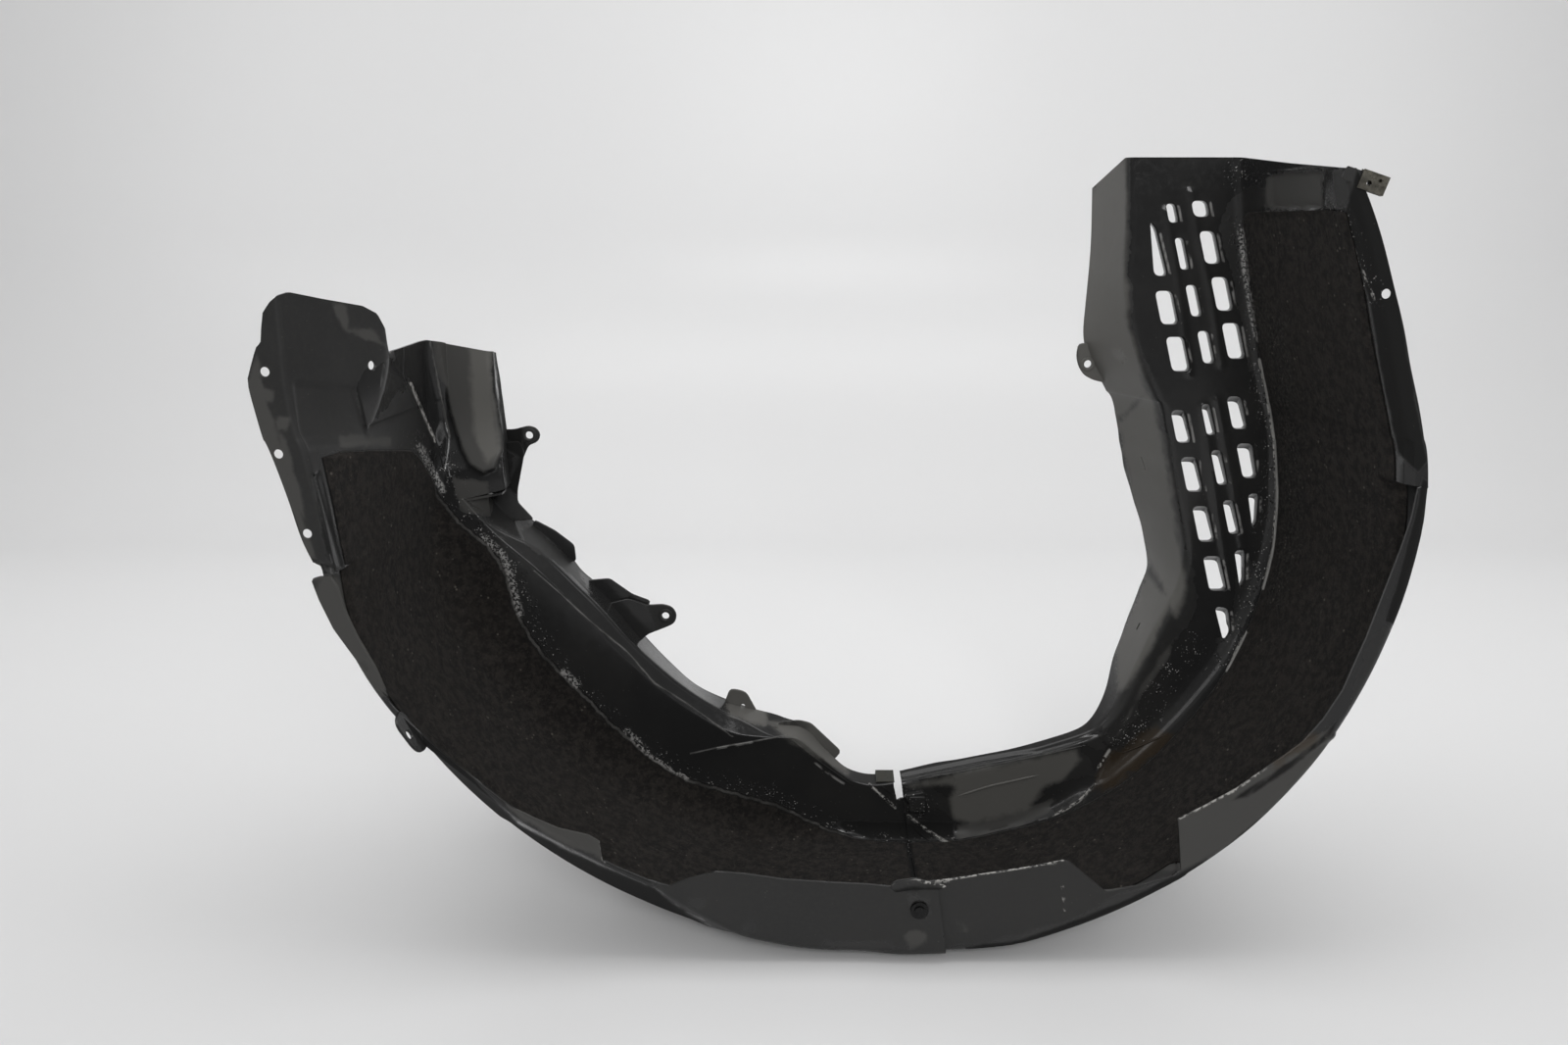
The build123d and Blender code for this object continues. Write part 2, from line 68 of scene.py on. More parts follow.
# ---------------------------------------------------------------- section tables
LIP_ROOT = [(-166, 441), (-163, 446), (-158, 448), (-152, 446), (-146, 440), (-141, 431),
            (-136, 427), (-131, 425), (-126, 421), (-121, 418), (-116, 417), (-112, 421),
            (-108, 428), (-104, 434), (-99, 436), (-94, 437), (-88, 438), (-81.5, 440),
            (-78, 443), (-74, 446), (-68, 446), (-58, 447), (-47, 447), (-42, 445),
            (-35, 442), (-28, 437), (-22, 433), (-14, 429), (-9, 425), (-5, 420)]
SHOULDER = [(-166, 430), (-162, 438), (-158, 446), (-152, 452), (-146, 454), (-140, 455),
            (-70, 456), (-60, 455), (-54, 453), (-48, 451), (-42, 449), (-36, 446),
            (-30, 441), (-24, 436), (-18, 428), (-12, 416), (-5, 400)]
HEEL = [(-166, 418), (-160, 431), (-154, 440), (-148, 445), (-140, 448), (-110, 450),
        (-78, 456), (-66, 458), (-58, 453), (-54, 450), (-50, 446), (-46, 442), (-41, 438),
        (-36, 435), (-31, 430), (-26, 423), (-21, 416), (-16, 407), (-11, 396), (-5, 385)]
HEEL_RADIUS = [(-166, 24), (-160, 38), (-150, 52), (-112, 50), (-104, 40), (-97, 24),
               (-90, 14), (-60, 14), (-50, 18), (-40, 20), (-20, 14), (-5, 9)]
WALL_DEPTH = [(-166, 215), (-110, 215), (-97, 210), (-88, 207), (-60, 208), (-50, 211), (-5, 211)]
RIDGE = [(-166, 388), (-160, 371), (-153, 350), (-147, 342), (-141, 337), (-134, 339),
         (-126, 343), (-118, 349), (-111, 354), (-106, 348), (-102, 342), (-99.5, 341),
         (-96, 356), (-92, 375), (-89, 384), (-85.5, 384), (-81.5, 381), (-78, 379),
         (-71, 383), (-62, 393), (-57, 400), (-54, 403), (-50, 396), (-46, 382),
         (-41, 368), (-36, 360), (-31, 355), (-26, 346), (-21, 326), (-16, 308),
         (-11, 295), (-5, 284)]
RETURN_R = [(-166, 366), (-160, 352), (-153, 332), (-147, 330), (-141, 322), (-134, 326),
            (-126, 335), (-118, 342), (-111, 338), (-104, 334), (-99, 334), (-96, 350),
            (-92, 370), (-89, 379), (-85.5, 379), (-81.5, 376), (-78, 374), (-71, 378),
            (-62, 388), (-57, 395), (-54, 398), (-50, 390), (-46, 378), (-41, 366),
            (-36, 356), (-31, 346), (-26, 322), (-21, 296), (-16, 277), (-11, 265), (-5, 255)]
RETURN_Y = [(-166, 272), (-126, 275), (-118, 266), (-111, 256), (-104, 246), (-99, 236),
            (-96, 228), (-92, 223), (-58, 222), (-54, 226), (-50, 244), (-46, 266),
            (-41, 280), (-36, 285), (-5, 285)]
REAR_LEG = [(-166, 0, 444, 431, 430, 40, 418, 346, 349, 215),
            (-170, 0, 450, 429, 426, 48, 408, 343, 346, 217),
            (-174, 0, 453, 430, 419, 62, 402, 341, 344, 227),
            (-180, 0, 465, 438, 409, 76, 399, 342, 345, 231),
            (-180, 15, 468, 441, 404, 82, 398, 344, 346, 231),
            (-180, 32, 471, 443, 400, 88, 398, 346, 348, 231),
            (-180, 46, 472, 444, 398, 93, 398, 347, 349, 231),
            (-180, 62, 466, 444, 397, 95, 398, 348, 350, 231),
            (-180, 74, 457.5, 444, 397, 95, 398, 348, 350, 231),
            (-180, 112, 454, 444, 397, 95, 398, 349, 351, 231)]
FRONT_LEG = [(-5, 0, 418, 402, 400, 385, 284, 255),
             (0, 0, 409, 393, 391, 374, 273, 244),
             (0, 28, 401, 385, 382, 365, 258, 229),
             (0, 55, 392, 376, 374, 358, 247, 219),
             (0, 82, 384, 368, 366, 352, 240, 218),
             (0, 110, 374, 360, 358, 346, 236, 219),
             (0, 140, 363, 350, 349, 340, 235, 220),
             (0, 170, 350, 338, 339, 335, 234, 220),
             (0, 200, 334, 325, 328, 331, 232, 219),
             (0, 228, 318, 313, 318, 328, 230, 218)]
REAR_LIP = [(-350.8, 338.5), (-347, 317), (-343, 298), (-338, 287), (-328, 264), (-325, 256),
            (-312, 231), (-283, 199), (-262, 179), (-238, 158), (-223, 144), (-203, 133),
            (-184, 124), (-160, 118), (-151, 112), (-149, 94), (-129, 85), (-113, 77), (-95, 72),
            (-81, 78), (-56, 85), (-32, 83), (0, 78), (40, 75), (81, 73), (109, 72), (129, 76),
            (150, 79), (150, 230), (-180, 345), (-276, 357)]
FRONT_LIP = [(80, 74), (105, 75), (129, 77), (161, 82), (202, 89), (229, 95), (235, 94),
             (265, 68), (291, 73), (321, 82), (327, 86), (321, 132), (342, 144), (366, 159),
             (387, 176), (401, 187), (416, 200), (430, 219), (443, 244), (457, 289), (470, 340),
             (475, 360), (480, 383), (482.3, 407.8), (431.5, 412.4), (300, 330), (200, 220), (80, 200)]
EAR_1 = [(-280, 411), (-262, 411), (-247, 415), (-239, 412), (-236, 405), (-240, 398), (-248, 396),
         (-256, 379), (-280, 379)]
EAR_2 = [(-180, 234), (-156, 240), (-137, 233), (-121, 234), (-112, 231), (-107.5, 223), (-110, 214),
         (-118, 210), (-138, 202), (-150, 190)]
TAB_3 = [(-64, 122), (-55, 147), (-46, 146), (-38, 143), (-20, 108), (-30, 104)]
TAB_4 = [(-8, 100), (-6, 119), (15, 121), (27, 118), (58, 87), (50, 77), (30, 92)]
EAR_FRONT = [(286, 492), (284.5, 480), (287, 470), (293, 461), (303, 456), (322, 452), (322, 492)]
VENT_FIELD = [(322, 634), (390, 634), (398, 600), (412, 545), (424, 492), (438, 440), (450, 390),
              (456, 345), (452, 300), (447, 255), (436, 205), (420, 212), (398, 276), (376, 350),
              (356, 420), (344, 480), (329, 540), (320, 600)]
VENTS = [[(339.8, 621.3), (347.8, 621.3), (352.4, 605.2), (344.3, 605.2)],
         [(362.3, 623.8), (376.0, 623.8), (379.9, 610.3), (366.1, 610.3)],
         [(327.0, 606.0), (332.5, 600.0), (346.0, 558.1), (334.0, 559.0)],
         [(349.9, 591.6), (357.5, 591.6), (365.3, 564.1), (357.7, 564.1)],
         [(371.4, 597.5), (384.8, 597.5), (393.0, 569.3), (379.5, 569.3)],
         [(335.8, 545.0), (351.0, 545.0), (359.3, 515.2), (344.0, 515.2)],
         [(362.8, 550.2), (372.2, 550.2), (380.2, 522.3), (370.7, 522.3)],
         [(385.2, 557.2), (399.6, 557.2), (408.2, 527.5), (393.8, 527.5)],
         [(348.6, 503.7), (364.7, 503.7), (373.4, 472.5), (357.2, 472.5)],
         [(376.8, 509.0), (387.0, 509.0), (395.3, 479.7), (385.1, 479.7)],
         [(398.5, 516.1), (413.5, 516.1), (422.8, 484.1), (407.7, 484.1)],
         [(358.2, 436.3), (371.2, 436.3), (379.7, 406.0), (366.5, 406.0)],
         [(385.9, 441.7), (393.8, 441.7), (401.8, 413.4), (393.8, 413.4)],
         [(408.8, 449.0), (421.8, 449.0), (430.5, 418.9), (417.4, 418.9)],
         [(370.7, 392.1), (385.3, 392.1), (394.4, 359.3), (379.7, 359.3)],
         [(398.5, 398.6), (407.7, 398.6), (416.9, 365.9), (407.7, 365.9)],
         [(421.7, 405.0), (436.3, 405.0), (443.5, 372.5), (431.0, 372.5)],
         [(385.4, 345.1), (400.0, 345.1), (409.6, 310.8), (394.9, 310.8)],
         [(413.6, 350.8), (423.0, 350.8), (432.2, 318.4), (422.7, 318.4)],
         [(437.0, 357.4), (446.5, 357.4), (447.5, 330.0), (444.5, 323.2)],
         [(399.6, 296.3), (415.5, 296.3), (425.0, 262.2), (409.0, 262.2)],
         [(429.0, 302.1), (438.5, 302.1), (441.0, 272.0), (438.0, 263.2)],
         [(415.0, 246.5), (428.0, 244.0), (432.0, 222.0), (426.5, 211.0)]]

# ---------------------------------------------------------------- viewpoint
CAM = np.array([0.0, -893.0, 597.0])
PITCH = math.radians(13.6)
FOCAL = 1225.0
AX_F = np.array([0.0, math.cos(PITCH), -math.sin(PITCH)])
AX_U = np.array([0.0, math.sin(PITCH), math.cos(PITCH)])


def seen(p):
    """Where points land in the 1600 x 1066 frame."""
    d = np.asarray(p, float) - CAM
    depth = d @ AX_F
    return np.stack([800 + FOCAL * d[..., 0] / depth, 533 - FOCAL * (d @ AX_U) / depth], -1)


def at(u, v, y):
    """Point on the plane at depth y that lands on that place of the frame."""
    d = np.array([(u - 800) / FOCAL, 0, 0]) + AX_F - (v - 533) / FOCAL * AX_U
    return CAM + d * (y - CAM[1]) / d[1]


# ---------------------------------------------------------------- small tools
def table(rows, a):
    xs = [r[0] for r in rows]
    if a <= xs[0]:
        return rows[0][1]
    if a >= xs[-1]:
        return rows[-1][1]
    i = bisect.bisect(xs, a)
    (a0, v0), (a1, v1) = rows[i - 1], rows[i]
    return v0 + (v1 - v0) * (a - a0) / (a1 - a0)


def spline(xs, ys):
    """Natural cubic spline; ys may have several columns."""
    xs, ys = np.asarray(xs, float), np.asarray(ys, float)
    if xs[0] > xs[-1]:
        xs, ys = xs[::-1], ys[::-1]
    flat = ys.reshape(len(xs), -1)
    n = len(xs)
    h = np.diff(xs)
    a = np.zeros((n, n))
    b = np.zeros((n, flat.shape[1]))
    a[0, 0] = a[-1, -1] = 1
    for i in range(1, n - 1):
        a[i, i - 1], a[i, i], a[i, i + 1] = h[i - 1], 2 * (h[i - 1] + h[i]), h[i]
        b[i] = 6 * ((flat[i + 1] - flat[i]) / h[i] - (flat[i] - flat[i - 1]) / h[i - 1])
    m = np.linalg.solve(a, b)

    def f(x):
        x = np.clip(np.atleast_1d(np.asarray(x, float)), xs[0], xs[-1])
        i = np.clip(np.searchsorted(xs, x, side="right") - 1, 0, n - 2)
        d0, d1 = (xs[i + 1] - x)[:, None], (x - xs[i])[:, None]
        hi = h[i][:, None]
        v = (m[i] * d0 ** 3 + m[i + 1] * d1 ** 3) / (6 * hi) \
            + (flat[i] / hi - m[i] * hi / 6) * d0 + (flat[i + 1] / hi - m[i + 1] * hi / 6) * d1
        return v.reshape((len(x),) + ys.shape[1:])
    return f


def crown_limit(a, r):
    flat = (ARCH_Z - 2 * SHEET - 0.5 - 0.4) / abs(math.sin(math.radians(a)))
    return min(r, flat) - 2.0 * math.log(1 + math.exp(-abs(r - flat) / 2.0))


def smooth(x):
    x = np.clip(x, 0, 1)
    return x * x * (3 - 2 * x)


def inside(pts, poly):
    pts, poly = np.asarray(pts, float), np.asarray(poly, float)
    x, y = pts[:, 0], pts[:, 1]
    res = np.zeros(len(pts), bool)
    j = len(poly) - 1
    for i in range(len(poly)):
        xi, yi = poly[i]
        xj, yj = poly[j]
        c = (yi > y) != (yj > y)
        t = np.where(c, (xj - xi) * (y - yi) / np.where(yj == yi, 1e-9, yj - yi) + xi, 0)
        res ^= c & (x < t)
        j = i
    return res


def line_dist(pts, line, closed=False):
    pts, line = np.asarray(pts, float), np.asarray(line, float)
    if closed:
        line = np.vstack([line, line[:1]])
    best = np.full(len(pts), 1e9)
    for a, b in zip(line[:-1], line[1:]):
        ab = b - a
        t = np.clip(((pts - a) @ ab) / max(ab @ ab, 1e-9), 0, 1)
        best = np.minimum(best, np.linalg.norm(pts - a - t[:, None] * ab, axis=1))
    return best


def signed(pts, poly):
    """Distance inside (positive) or outside (negative) a closed outline."""
    shape = np.asarray(pts).shape[:-1]
    p = np.asarray(pts, float).reshape(-1, 2)
    d = line_dist(p, poly, True)
    return np.where(inside(p, poly), d, -d).reshape(shape)


def rounded(points, r, n=5):
    out = []
    m = len(points)
    for i in range(m):
        a, p, b = points[i - 1], points[i], points[(i + 1) % m]
        la, lb = math.dist(a, p), math.dist(b, p)
        d = min(r, 0.45 * la, 0.45 * lb)
        s = (p[0] + (a[0] - p[0]) * d / la, p[1] + (a[1] - p[1]) * d / la)
        e = (p[0] + (b[0] - p[0]) * d / lb, p[1] + (b[1] - p[1]) * d / lb)
        for k in range(n):
            t = k / (n - 1)
            out.append(((1 - t) ** 2 * s[0] + 2 * t * (1 - t) * p[0] + t * t * e[0],
                        (1 - t) ** 2 * s[1] + 2 * t * (1 - t) * p[1] + t * t * e[1]))
    return out


def resample(line, step, closed=False):
    pts = np.asarray(line, float)
    if closed:
        pts = np.vstack([pts, pts[:1]])
    seg = np.linalg.norm(np.diff(pts, axis=0), axis=1)
    s = np.concatenate([[0], np.cumsum(seg)])
    n = max(2, int(round(s[-1] / step)))
    q = np.linspace(0, s[-1], n + 1)
    out = np.stack([np.interp(q, s, pts[:, k]) for k in range(pts.shape[1])], 1)
    return out[:-1] if closed else out


def offset_loop(loop, d):
    """Closed outline moved outwards by d (loop in any turning sense)."""
    p = np.asarray(loop, float)
    area = 0.5 * np.sum(p[:, 0] * np.roll(p[:, 1], -1) - np.roll(p[:, 0], -1) * p[:, 1])
    t = np.roll(p, -1, 0) - np.roll(p, 1, 0)
    t /= np.maximum(np.linalg.norm(t, axis=1), 1e-9)[:, None]
    nrm = np.stack([t[:, 1], -t[:, 0]], 1) * (1 if area > 0 else -1)
    return p + nrm * d


# ---------------------------------------------------------------- section building
def section(corners, radii, flats, nb):
    """Dense section line: flats[k] steps along each straight, nb points round each bend."""
    corners = [np.asarray(c, float) for c in corners]
    ends = [corners[0]]
    arcs = []
    for i in range(1, len(corners) - 1):
        a, p, b = corners[i - 1], corners[i], corners[i + 1]
        ua, ub = a - p, b - p
        la, lb = np.linalg.norm(ua), np.linalg.norm(ub)
        ua, ub = ua / la, ub / lb
        half = math.acos(max(-1, min(1, float(ua @ ub)))) / 2
        d = min(max(radii[i - 1] / math.tan(half), 1.0), 0.45 * la, 0.45 * lb)
        s, e = p + ua * d, p + ub * d
        t = np.linspace(0, 1, nb)[:, None]
        arcs.append((1 - t) ** 2 * s + 2 * t * (1 - t) * p + t * t * e)
    out = []
    for k in range(len(corners) - 1):
        s = corners[0] if k == 0 else arcs[k - 1][-1]
        e = corners[-1] if k == len(corners) - 2 else arcs[k][0]
        t = np.linspace(0, 1, flats[k] + 1)[:, None]
        run = s + (e - s) * t
        if k > 0:
            run = run[1:]
        if k < len(arcs):
            run = run[:-1]
        out.append(run)
        if k < len(arcs):
            out.append(arcs[k])
    return np.vstack(out)


def push(line, t):
    """Section line moved sideways, away from the wheel for positive t."""
    d = np.diff(line, axis=0)
    d /= np.maximum(np.linalg.norm(d, axis=1), 1e-9)[:, None]
    n = np.stack([d[:, 1], -d[:, 0]], 1)
    first, last = n[:1], n[-1:]
    m = np.vstack([first, n[:-1] + n[1:], last])
    m /= np.maximum(np.linalg.norm(m, axis=1), 1e-9)[:, None]
    nn = np.vstack([first, n])
    k = 1 / np.maximum(0.5, np.sum(m * nn, axis=1))
    return line + m * (np.asarray(t) * k)[:, None]


def put(a, rise, line):
    ang = math.radians(a)
    return np.stack([ARCH_X + line[:, 0] * math.cos(ang), line[:, 1],
                     ARCH_Z + rise + line[:, 0] * math.sin(ang)], 1)


# ---------------------------------------------------------------- mesh gathering
class Mesh:
    def __init__(self):
        self.v, self.f, self.tag, self.n = [], [], [], 0

    def add(self, verts, faces, tag=0.0):
        """tag: 1 on faces seen from the wheel side, 0 elsewhere."""
        verts = np.asarray(verts, float).reshape(-1, 3)
        base = self.n
        self.v.append(verts)
        t = np.broadcast_to(np.asarray(tag, float), (len(verts),))
        self.tag.append(t)
        self.f += [tuple(int(i) + base for i in f) for f in faces]
        self.n += len(verts)
        return base

    def sheet(self, a, b, tag=1.0):
        """Closed sheet between two grids of points of the same size."""
        r, c = a.shape[:2]
        ia = np.arange(r * c).reshape(r, c)
        ib = ia + r * c
        f = []
        q = np.stack([ia[:-1, :-1], ia[1:, :-1], ia[1:, 1:], ia[:-1, 1:]], -1).reshape(-1, 4)
        f += [tuple(x) for x in q]
        q = np.stack([ib[:-1, :-1], ib[:-1, 1:], ib[1:, 1:], ib[1:, :-1]], -1).reshape(-1, 4)
        f += [tuple(x) for x in q]
        ring = list(zip(ia[0, :], ib[0, :])), list(zip(ia[:, -1], ib[:, -1])), \
            list(zip(ia[-1, ::-1], ib[-1, ::-1])), list(zip(ia[::-1, 0], ib[::-1, 0]))
        for side in ring:
            for (p, pb), (s, sb) in zip(side[:-1], side[1:]):
                f.append((p, s, sb, pb))
        self.add(np.concatenate([a.reshape(-1, 3), b.reshape(-1, 3)]), f,
                 np.concatenate([np.full(r * c, tag), np.zeros(r * c)]))

    def object(self, name, attrs=None, sharp=38.0, merge=None):
        v = np.concatenate(self.v)
        v = np.clip(v, BOX_LOW, BOX_HIGH) if not name.startswith("work") else v
        me = bpy.data.meshes.new(name)
        me.from_pydata(((v + MOVE) * 0.001).tolist(), [], self.f)
        ob = bpy.data.objects.new(name, me)
        bpy.context.scene.collection.objects.link(ob)
        for key, val in (attrs or {}).items():
            at_ = me.attributes.new(key, "FLOAT", "POINT")
            at_.data.foreach_set("value", np.asarray(val, np.float32))
        me.validate()
        import bmesh
        bm = bmesh.new()
        bm.from_mesh(me)
        if merge:
            bmesh.ops.remove_doubles(bm, verts=bm.verts, dist=merge)
        bmesh.ops.recalc_face_normals(bm, faces=bm.faces)
        bm.to_mesh(me)
        bm.free()
        me.polygons.foreach_set("use_smooth", np.ones(len(me.polygons), bool))
        me.set_sharp_from_angle(angle=math.radians(sharp))
        me.update()
        return ob


def prism(mesh, outline, y0, y1, holes=(), edge=0.5, tag=1.0, step=3.0):
    """Plate in a plane of constant y with softened edges and round or shaped holes."""
    loops = [resample(outline, step, True)] + [np.asarray(h, float) for h in holes]
    rings = []
    for k, lp in enumerate(loops):
        inn = offset_loop(lp, -edge if k == 0 else edge)
        rings.append((lp, inn))
    pts, edges = [], []
    for lp, inn in rings:
        b = len(pts)
        pts += [tuple(p) for p in inn]
        edges += [(b + i, b + (i + 1) % len(inn)) for i in range(len(inn))]
    res = delaunay_2d_cdt([Vector(p) for p in pts], edges, [], 0, 1e-5)
    vv = np.array([tuple(p) for p in res[0]])
    faces = []
    for f in res[2]:
        c = vv[list(f)].mean(0)[None]
        if inside(c, rings[0][1])[0] and not any(inside(c, r[1])[0] for r in rings[1:]):
            faces.append(list(f))
    used = {}
    for i, src in enumerate(res[3]):
        for k in src:
            used[k] = i
    n = len(vv)
    verts = [(p[0], y0, p[1]) for p in vv] + [(p[0], y1, p[1]) for p in vv]
    allf = [tuple(f) for f in faces] + [tuple(i + n for i in reversed(f)) for f in faces]
    tags = [tag] * n + [0.0] * n
    first = 0
    for lp, inn in rings:
        ids = [used[first + i] for i in range(len(inn))]
        first += len(inn)
        m = len(lp)
        b0 = len(verts)
        sgn = 1 if y1 > y0 else -1
        verts += [(p[0], y0 + sgn * edge, p[1]) for p in lp]
        verts += [(p[0], y1 - sgn * edge, p[1]) for p in lp]
        tags += [tag] * m + [0.0] * m
        for i in range(m):
            j = (i + 1) % m
            allf.append((ids[i], ids[j], b0 + j, b0 + i))
            allf.append((b0 + i, b0 + j, b0 + m + j, b0 + m + i))
            allf.append((b0 + m + i, b0 + m + j, ids[j] + n, ids[i] + n))
    mesh.add(verts, allf, np.array(tags))


def circle(x, z, r, n=24):
    return [(x + r * math.cos(2 * math.pi * i / n), z + r * math.sin(2 * math.pi * i / n)) for i in range(n)]


def ridge_line(mesh, pts, width, height, out=(0, -1, 0), tag=1.0):
    """Raised rounded rib along a line of points; out is the way it stands."""
    pts = np.asarray(pts, float)
    out = np.asarray(out, float)
    out = out / np.linalg.norm(out)
    t = np.gradient(pts, axis=0)
    t /= np.maximum(np.linalg.norm(t, axis=1), 1e-9)[:, None]
    side = np.cross(t, out)
    side /= np.maximum(np.linalg.norm(side, axis=1), 1e-9)[:, None]
    prof = [(-0.5, -0.35), (-0.42, 0.35), (-0.2, 0.9), (0.2, 0.9), (0.42, 0.35), (0.5, -0.35)]
    n, m = len(pts), len(prof)
    taper = np.ones(n)
    taper[0] = taper[-1] = 0.25
    if n > 4:
        taper[1] = taper[-2] = 0.7
    verts = []
    for i in range(n):
        for a, b in prof:
            verts.append(pts[i] + side[i] * a * width * taper[i] + out * b * height * (taper[i] if b > 0 else 1))
    faces = []
    for i in range(n - 1):
        for k in range(m):
            k2 = (k + 1) % m
            faces.append((i * m + k, i * m + k2, (i + 1) * m + k2, (i + 1) * m + k))
    faces.append(tuple(range(m)))
    faces.append(tuple(reversed(range((n - 1) * m, n * m))))
    mesh.add(verts, faces, tag)


def plate3(mesh, corners, thick, out=None, tag=1.0, n=6):
    """Thin plate with 4 corners (a bilinear patch)."""
    a, b, c, d = [np.asarray(p, float) for p in corners]
    u = np.linspace(0, 1, n + 1)[:, None, None]
    v = np.linspace(0, 1, n + 1)[None, :, None]
    g = (1 - u) * ((1 - v) * a + v * b) + u * ((1 - v) * d + v * c)
    nr = np.cross(c - a, d - b)
    nr /= np.linalg.norm(nr)
    if nr[1] > 0:
        nr = -nr
    mesh.sheet(g, g - nr * thick, tag)


# ---------------------------------------------------------------- lip edge against angle
def lip_edge(poly, a, root):
    ang = math.radians(a)
    d = np.array([math.cos(ang), math.sin(ang)])
    o = np.array([ARCH_X, ARCH_Z])
    best = None
    for i in range(len(poly)):
        p, q = np.asarray(poly[i], float), np.asarray(poly[(i + 1) % len(poly)], float)
        e = q - p
        den = d[0] * e[1] - d[1] * e[0]
        if abs(den) < 1e-9:
            continue
        w = p - o
        t = (w[0] * e[1] - w[1] * e[0]) / den
        s = (w[0] * d[1] - w[1] * d[0]) / den
        if 0 <= s <= 1 and 330 < t < root + 12:
            best = t if best is None else max(best, t)
    if best is None:
        return root - 3.0
    return min(best, root - 2.5)


REAR_ANGLES = [-166, -163, -159, -155, -151, -147, -143, -139, -135, -131, -127, -123, -119, -116, -113,
               -110, -107, -104, -102, -100, -98, -96, -94, -92, -90, -88, -85.9, -81.8]
FRONT_ANGLES = [-85.2, -84, -82.5, -81, -79, -77, -75, -73, -70, -67, -64, -61, -58, -55, -52, -49,
                -46, -43, -40, -37, -34, -31, -28, -25, -22, -19, -16, -13, -11, -9, -7, -5]


def crown_numbers(a):
    root = crown_limit(a, table(LIP_ROOT, a) + 3) - 3 - SHEET
    return [root, crown_limit(a, table(SHOULDER, a)), crown_limit(a, table(HEEL, a)), table(WALL_DEPTH, a),
            table(RIDGE, a), table(RETURN_R, a), table(RETURN_Y, a), table(HEEL_RADIUS, a)]


rear_numbers = spline(REAR_ANGLES, [crown_numbers(a) for a in REAR_ANGLES])
front_numbers = spline(FRONT_ANGLES, [crown_numbers(a) for a in FRONT_ANGLES])
CROWN_FLATS = (5, 5, 34, 20, 9)
NB = 8


def crown_section(a, numbers, lip, flats=CROWN_FLATS):
    root, sh, heel, y, ridge, ret, rety, hr = numbers(a)[0]
    corners = [(lip_edge(lip, a, root), SHEET), (root, SHEET), (sh, 40.0), (heel, y), (ridge, y), (ret, rety)]
    return section(corners, [6.0, 22.0, hr, 9.0], flats, NB)


def normals(g):
    du = np.gradient(g, axis=0)
    dv = np.gradient(g, axis=1)
    n = np.cross(du, dv)
    return n / np.maximum(np.linalg.norm(n, axis=2), 1e-9)[..., None]


def row_angles(a0, a1, step, lip):
    rows = list(np.arange(a0, a1, step)) + [a1]
    for x, z in lip:
        t = math.degrees(math.atan2(z - ARCH_Z, x - ARCH_X))
        t = t - 360 if t > 100 else t
        if a0 < t < a1:
            rows.append(t)
    rows = sorted(rows)
    out = [rows[0]]
    for r in rows[1:]:
        if r - out[-1] > 0.06:
            out.append(r)
    out[-1] = a1
    return out


# ---------------------------------------------------------------- cutting and joining
def lathe(mesh, origin, axis, prof, n=28):
    """Closed turned shape: prof is (distance along the axis, radius)."""
    axis = np.asarray(axis, float) / np.linalg.norm(axis)
    e1 = np.cross(axis, (0.0, 0.0, 1.0) if abs(axis[2]) < 0.9 else (1.0, 0.0, 0.0))
    e1 /= np.linalg.norm(e1)
    e2 = np.cross(axis, e1)
    t = np.linspace(0, 2 * math.pi, n, endpoint=False)
    ring = np.cos(t)[:, None] * e1 + np.sin(t)[:, None] * e2
    verts, faces = [], []
    for d, r in prof:
        verts.append(np.asarray(origin, float) + axis * d + ring * r)
    for k in range(len(prof) - 1):
        for i in range(n):
            j = (i + 1) % n
            faces.append((k * n + i, k * n + j, (k + 1) * n + j, (k + 1) * n + i))
    faces.append(tuple(reversed(range(n))))
    faces.append(tuple(range((len(prof) - 1) * n, len(prof) * n)))
    mesh.add(np.concatenate(verts), faces, 0.0)


def ring(mesh, origin, axis, prof, n=28):
    """Turned shape with an open middle: prof is a closed outline of (distance along the axis, radius)."""
    m = Mesh()
    lathe(m, origin, axis, prof, n)
    k = len(prof) - 1
    close = [(k * n + i, k * n + (i + 1) % n, (i + 1) % n, i) for i in range(n)]
    mesh.add(np.concatenate(m.v), m.f[:-2] + close, 0.0)


def hole_cutter(mesh, x, y, z, r, axis=(0, 1, 0), t=SHEET):
    """Drill with a small countersink on both faces of a sheet whose wheel side is at the point."""
    lathe(mesh, (x, y, z), axis, [(-4, r + 4.4), (-0.1, r + 0.5), (0.45, r), (t - 0.45, r), (t + 0.1, r + 0.5), (t + 4, r + 4.4)])


def carve(mesh, cutter):
    """Cut closed shapes out of a closed mesh and hand the result back as points and faces."""
    a, b = mesh.object("work_a"), cutter.object("work_b")
    mod = a.modifiers.new("cut", "BOOLEAN")
    mod.operation, mod.solver, mod.object = "DIFFERENCE", "EXACT", b
    dg = bpy.context.evaluated_depsgraph_get()
    me = bpy.data.meshes.new_from_object(a.evaluated_get(dg))
    v = np.empty(len(me.vertices) * 3)
    me.vertices.foreach_get("co", v)
    v = v.reshape(-1, 3) * 1000 - MOVE
    f = [tuple(p.vertices) for p in me.polygons]
    for ob in (a, b):
        old = ob.data
        bpy.data.objects.remove(ob)
        bpy.data.meshes.remove(old)
    bpy.data.meshes.remove(me)
    return v, f


def slab(mesh, outline, thick, holes, origin, ex, ez, ey, edge=0.5, tag=1.0, step=3.0):
    """Flat plate with holes in any plane: ex and ez lie in it, ey points through it."""
    m = Mesh()
    prism(m, outline, 0.0, thick, holes, edge, tag, step)
    v = np.concatenate(m.v)
    ex, ez, ey = [np.asarray(q, float) for q in (ex, ez, ey)]
    w = np.asarray(origin, float) + v[:, :1] * ex + v[:, 1:2] * ey + v[:, 2:] * ez
    mesh.add(w, m.f, np.concatenate(m.tag))


